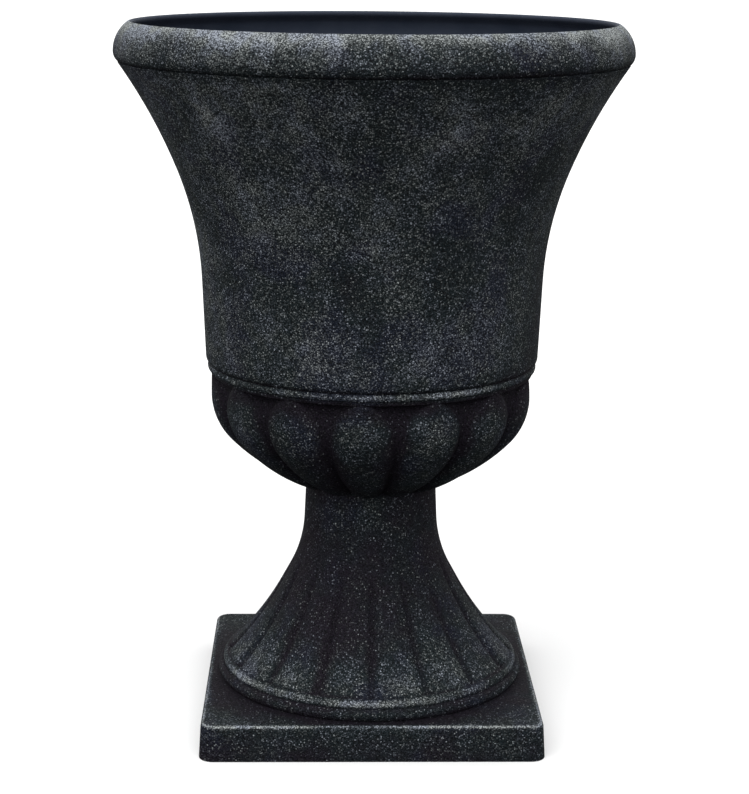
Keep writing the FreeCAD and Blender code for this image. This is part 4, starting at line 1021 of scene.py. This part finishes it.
def brushed_resin(name, seed, warmth):
    """Dark pebbled resin with pale dry-brush paint, painted highlight and painted shade in its pits.

    The value on the points, paint and painted highlight, is scaled by the clouds. A fleck is the
    top of a pebble, if its random number is above 1 less that scaled value. The film is contrast
    to the power of the grain, so most of it is faint and a little bright. Between the pebbles the
    ground is darkened towards near black: painted shade in the pits. Haze joins the flecks from a
    scaled value of 0.7 on, partly paint and partly painted highlight. Their sum is the share of
    pale paint and painted highlight over the ground, which is umber where it is clean and teal
    where not.
    """
    material, shader, place = start_finish(name)
    here = shift(place, (seed, seed * 0.7, seed * 0.3))
    paint_and_highlight_value, bare = mark(place, "dusting"), mark(place, "bare")
    distance, catches, shine = pebbles(here)
    grain = noise(here, GRAIN_SCALE, 1.0, 0.6)

    broad = noise(here, CLOUD_SCALE, 3.0, 0.55)
    patch = noise(shift(here, PATCH_PLACE), PATCH_SCALE, 3.0, 0.6)
    cloud = (broad * 0.6 + patch * 0.4).ramp(0.36, 0.64)
    # Scaled by the clouds: pale paint, and painted highlight over the rim's top, the lip, the foot's
    # bead and the plinth's edge.
    cover_and_highlight = paint_and_highlight_value * (0.55 + 0.65 * cloud)

    # The second value darkens the ground between the pebbles towards near black: painted shade in the
    # pits.
    top, pit_shade = distance.ramp(0.66, 0.08), distance.ramp(0.4, 0.85) * 0.85
    painted = (catches - (1.0 - cover_and_highlight)).ramp(-0.25, 0.3)
    fleck = top * painted * (0.05 + 0.86 * shine * shine * shine + 0.29 * cover_and_highlight)
    film = (0.15 + cover_and_highlight) * FILM * FILM_CONTRAST ** (grain - 0.5)
    # Haze of thick paint, which over the rim's top, the lip, the bead and the plinth's edge is also
    # painted highlight.
    haze_and_highlight = cover_and_highlight.ramp(0.7, 2.1) * (0.03 + 0.56 * top + 0.52 * grain * grain)
    speck = fleck + film + haze_and_highlight

    tint = noise(shift(here, TINT_PLACE), TINT_SCALE, 2.0, 0.5)
    dark = tint.ramp(0.5, 0.64).mix(TEAL, BLUE)
    ground = (warmth - paint_and_highlight_value * 1.5 - 0.6 * cloud).ramp(0.2, 1.0).mix(dark, UMBER)
    shade = noise(shift(here, SHADE_PLACE), SHADE_SCALE, 1.0)
    pale = shade.ramp(0.4, 0.6).mix(PALE_GREEN, PALE_BLUE)
    inner = (patch * 0.5 + broad * 0.5).ramp(0.38, 0.62).mix(NAVY, FADED_NAVY)
    colour = bare.mix(speck.mix(pit_shade.mix(ground, PIT_SHADE), pale), inner)

    rise = (1 - distance + 0.5 * grain) * (1 - 0.94 * bare)
    bump = place.node("ShaderNodeBump", {}, Height=rise, Distance=PEBBLE_HEIGHT, Strength=1.0)
    feed(shader, Base_Color=colour, Roughness=0.7 + 0.15 * fleck - 0.1 * bare, Normal=bump,
         Specular_IOR_Level=SPECULAR)
    return material


urn_bowl.data.materials.append(brushed_resin("bowl_resin", BOWL_SEED, BOWL_WARMTH))
pedestal_resin = brushed_resin("pedestal_resin", PEDESTAL_SEED, PEDESTAL_WARMTH)
for piece in (urn_pedestal, screw_bosses):
    piece.data.materials.append(pedestal_resin)
print("Finishes:", [made.name for made in bpy.data.materials])

# %% [markdown]
# ## Steel and rubber
# The screws are zinc-plated: bright, a little rough, with cloudy spots. The washers and the plug
# are matt rubber with a faint grain.

# %% The small parts' finishes
ZINC_DULL, ZINC_BRIGHT = (0.42, 0.43, 0.44, 1), (0.62, 0.63, 0.62, 1)
RUBBER_DARK, RUBBER_GREY = (0.018, 0.018, 0.019, 1), (0.03, 0.03, 0.032, 1)
ZINC_SCALE, RUBBER_SCALE, RUBBER_BUMP = 700.0, 1500.0, 0.1 * MM


def zinc():
    """Bright metal with cloudy spots, which are both paler and rougher."""
    material, shader, place = start_finish("zinc_plate")
    spots = noise(place, ZINC_SCALE, 3.0)
    feed(shader, Base_Color=spots.ramp(0.3, 0.7).mix(ZINC_DULL, ZINC_BRIGHT),
         Roughness=0.28 + 0.2 * spots, Metallic=1.0)
    return material


def rubber():
    """Black rubber with a fine grain in its colour, gloss and surface."""
    material, shader, place = start_finish("matt_rubber")
    grain = noise(place, RUBBER_SCALE, 2.0)
    bump = place.node("ShaderNodeBump", {}, Height=grain, Distance=RUBBER_BUMP, Strength=0.6)
    feed(shader, Base_Color=grain.mix(RUBBER_DARK, RUBBER_GREY),
         Roughness=0.7 + 0.15 * grain, Normal=bump)
    return material


pan_screws.data.materials.append(zinc())
matt = rubber()
for name in ("rubber_washers", "plug_stopper", "plug_tab"):
    bpy.data.objects[name].data.materials.append(matt)
print("Small parts dressed:", matt.name)

# %% [markdown]
# ## Floor, light and camera
# The planter stands on a plain white floor that runs past the view, in a white studio. The key
# light is a sun with a very wide angle, which is a large soft lamp far away: it lights the whole
# floor evenly, from above, in front and a little to the left. The studio round it is brightest
# near the horizon, like a curved backdrop, and dark below. The photograph's undersides are deep
# in shade, so the floor is kept out of the diffuse and glossy rays and throws no light back up.
# The camera's place, turn and focal length were fitted to the outline in the photograph.

# %% The floor
FLOOR_REACH, FLOOR_WHITE = 60.0, (0.95, 0.95, 0.95, 1)
floor_mesh = bpy.data.meshes.new("floor")
reach = np.array([(-1, -1, 0), (1, -1, 0), (1, 1, 0), (-1, 1, 0)]) * FLOOR_REACH
floor_mesh.from_pydata(reach.tolist(), [], [(0, 1, 2, 3)])
floor = bpy.data.objects.new("floor", floor_mesh)
bpy.context.scene.collection.objects.link(floor)
floor_finish, floor_shader, _ = start_finish("pale_floor")
feed(floor_shader, Base_Color=FLOOR_WHITE, Roughness=0.9, Specular_IOR_Level=0.0)
floor_mesh.materials.append(floor_finish)
floor.visible_diffuse = False
floor.visible_glossy = False
print("Floor reaches", FLOOR_REACH, "m each way")

# %% The light
KEY_STRENGTH, KEY_ANGLE = 2.1, np.radians(80)
KEY_FROM = Vector((-0.18, -0.72, 1.0))
HORIZON, ZENITH, BELOW = 1.05, 0.9, 0.10

sun = bpy.data.lights.new("key", "SUN")
sun.energy, sun.angle = KEY_STRENGTH, KEY_ANGLE
key = bpy.data.objects.new("key", sun)
key.rotation_mode = "QUATERNION"
key.rotation_quaternion = (-KEY_FROM).to_track_quat("-Z", "Y")
bpy.context.scene.collection.objects.link(key)

world = bpy.data.worlds.new("studio")
bpy.context.scene.world = world
world.use_nodes = True
sky = world.node_tree
direction = Wire(sky, sky.nodes.new("ShaderNodeTexCoord").outputs["Generated"])
up = direction.node("ShaderNodeSeparateXYZ", {}, "Z", Vector=direction)
glow = up.ramp(-0.12, 0.0) * (HORIZON - (HORIZON - ZENITH) * up.ramp(0.2, 0.65) - BELOW) + BELOW
backdrop = sky.nodes["Background"]
backdrop.inputs["Color"].default_value = (1, 1, 1, 1)
sky.links.new(glow.socket, backdrop.inputs["Strength"])
bpy.context.scene.view_settings.view_transform = "Standard"
print("Key light from", tuple(round(part, 2) for part in KEY_FROM))

# %% The camera
CAMERA_PLACE = Vector((-0.03526, -1.55033, 0.61251))
CAMERA_TURN, CAMERA_PITCH, CAMERA_ROLL = np.radians(-1.391), np.radians(13.144), np.radians(0.493)
FOCAL_PIXELS, LONG_SIDE, SENSOR = 2033.45, 794, 36.0


def camera_axes(turn, pitch, roll):
    """Right, up and backward directions of a camera that is turned, tilted down and rolled."""
    ahead = Vector((-np.sin(turn) * np.cos(pitch), np.cos(turn) * np.cos(pitch), -np.sin(pitch)))
    level = Vector((np.cos(turn), np.sin(turn), 0))
    up = level.cross(ahead)
    right = np.cos(roll) * level + np.sin(roll) * up
    upward = -np.sin(roll) * level + np.cos(roll) * up
    return right, upward, -ahead


camera_data = bpy.data.cameras.new("camera")
camera_data.sensor_width = SENSOR
camera_data.lens = FOCAL_PIXELS / LONG_SIDE * SENSOR
camera = bpy.data.objects.new("camera", camera_data)
bpy.context.scene.collection.objects.link(camera)
axes = Matrix(camera_axes(CAMERA_TURN, CAMERA_PITCH, CAMERA_ROLL)).transposed().to_4x4()
camera.matrix_world = Matrix.Translation(CAMERA_PLACE) @ axes
bpy.context.scene.camera = camera
print(f"Lens {camera_data.lens:.2f} mm")

# %% [markdown]
# ## The end
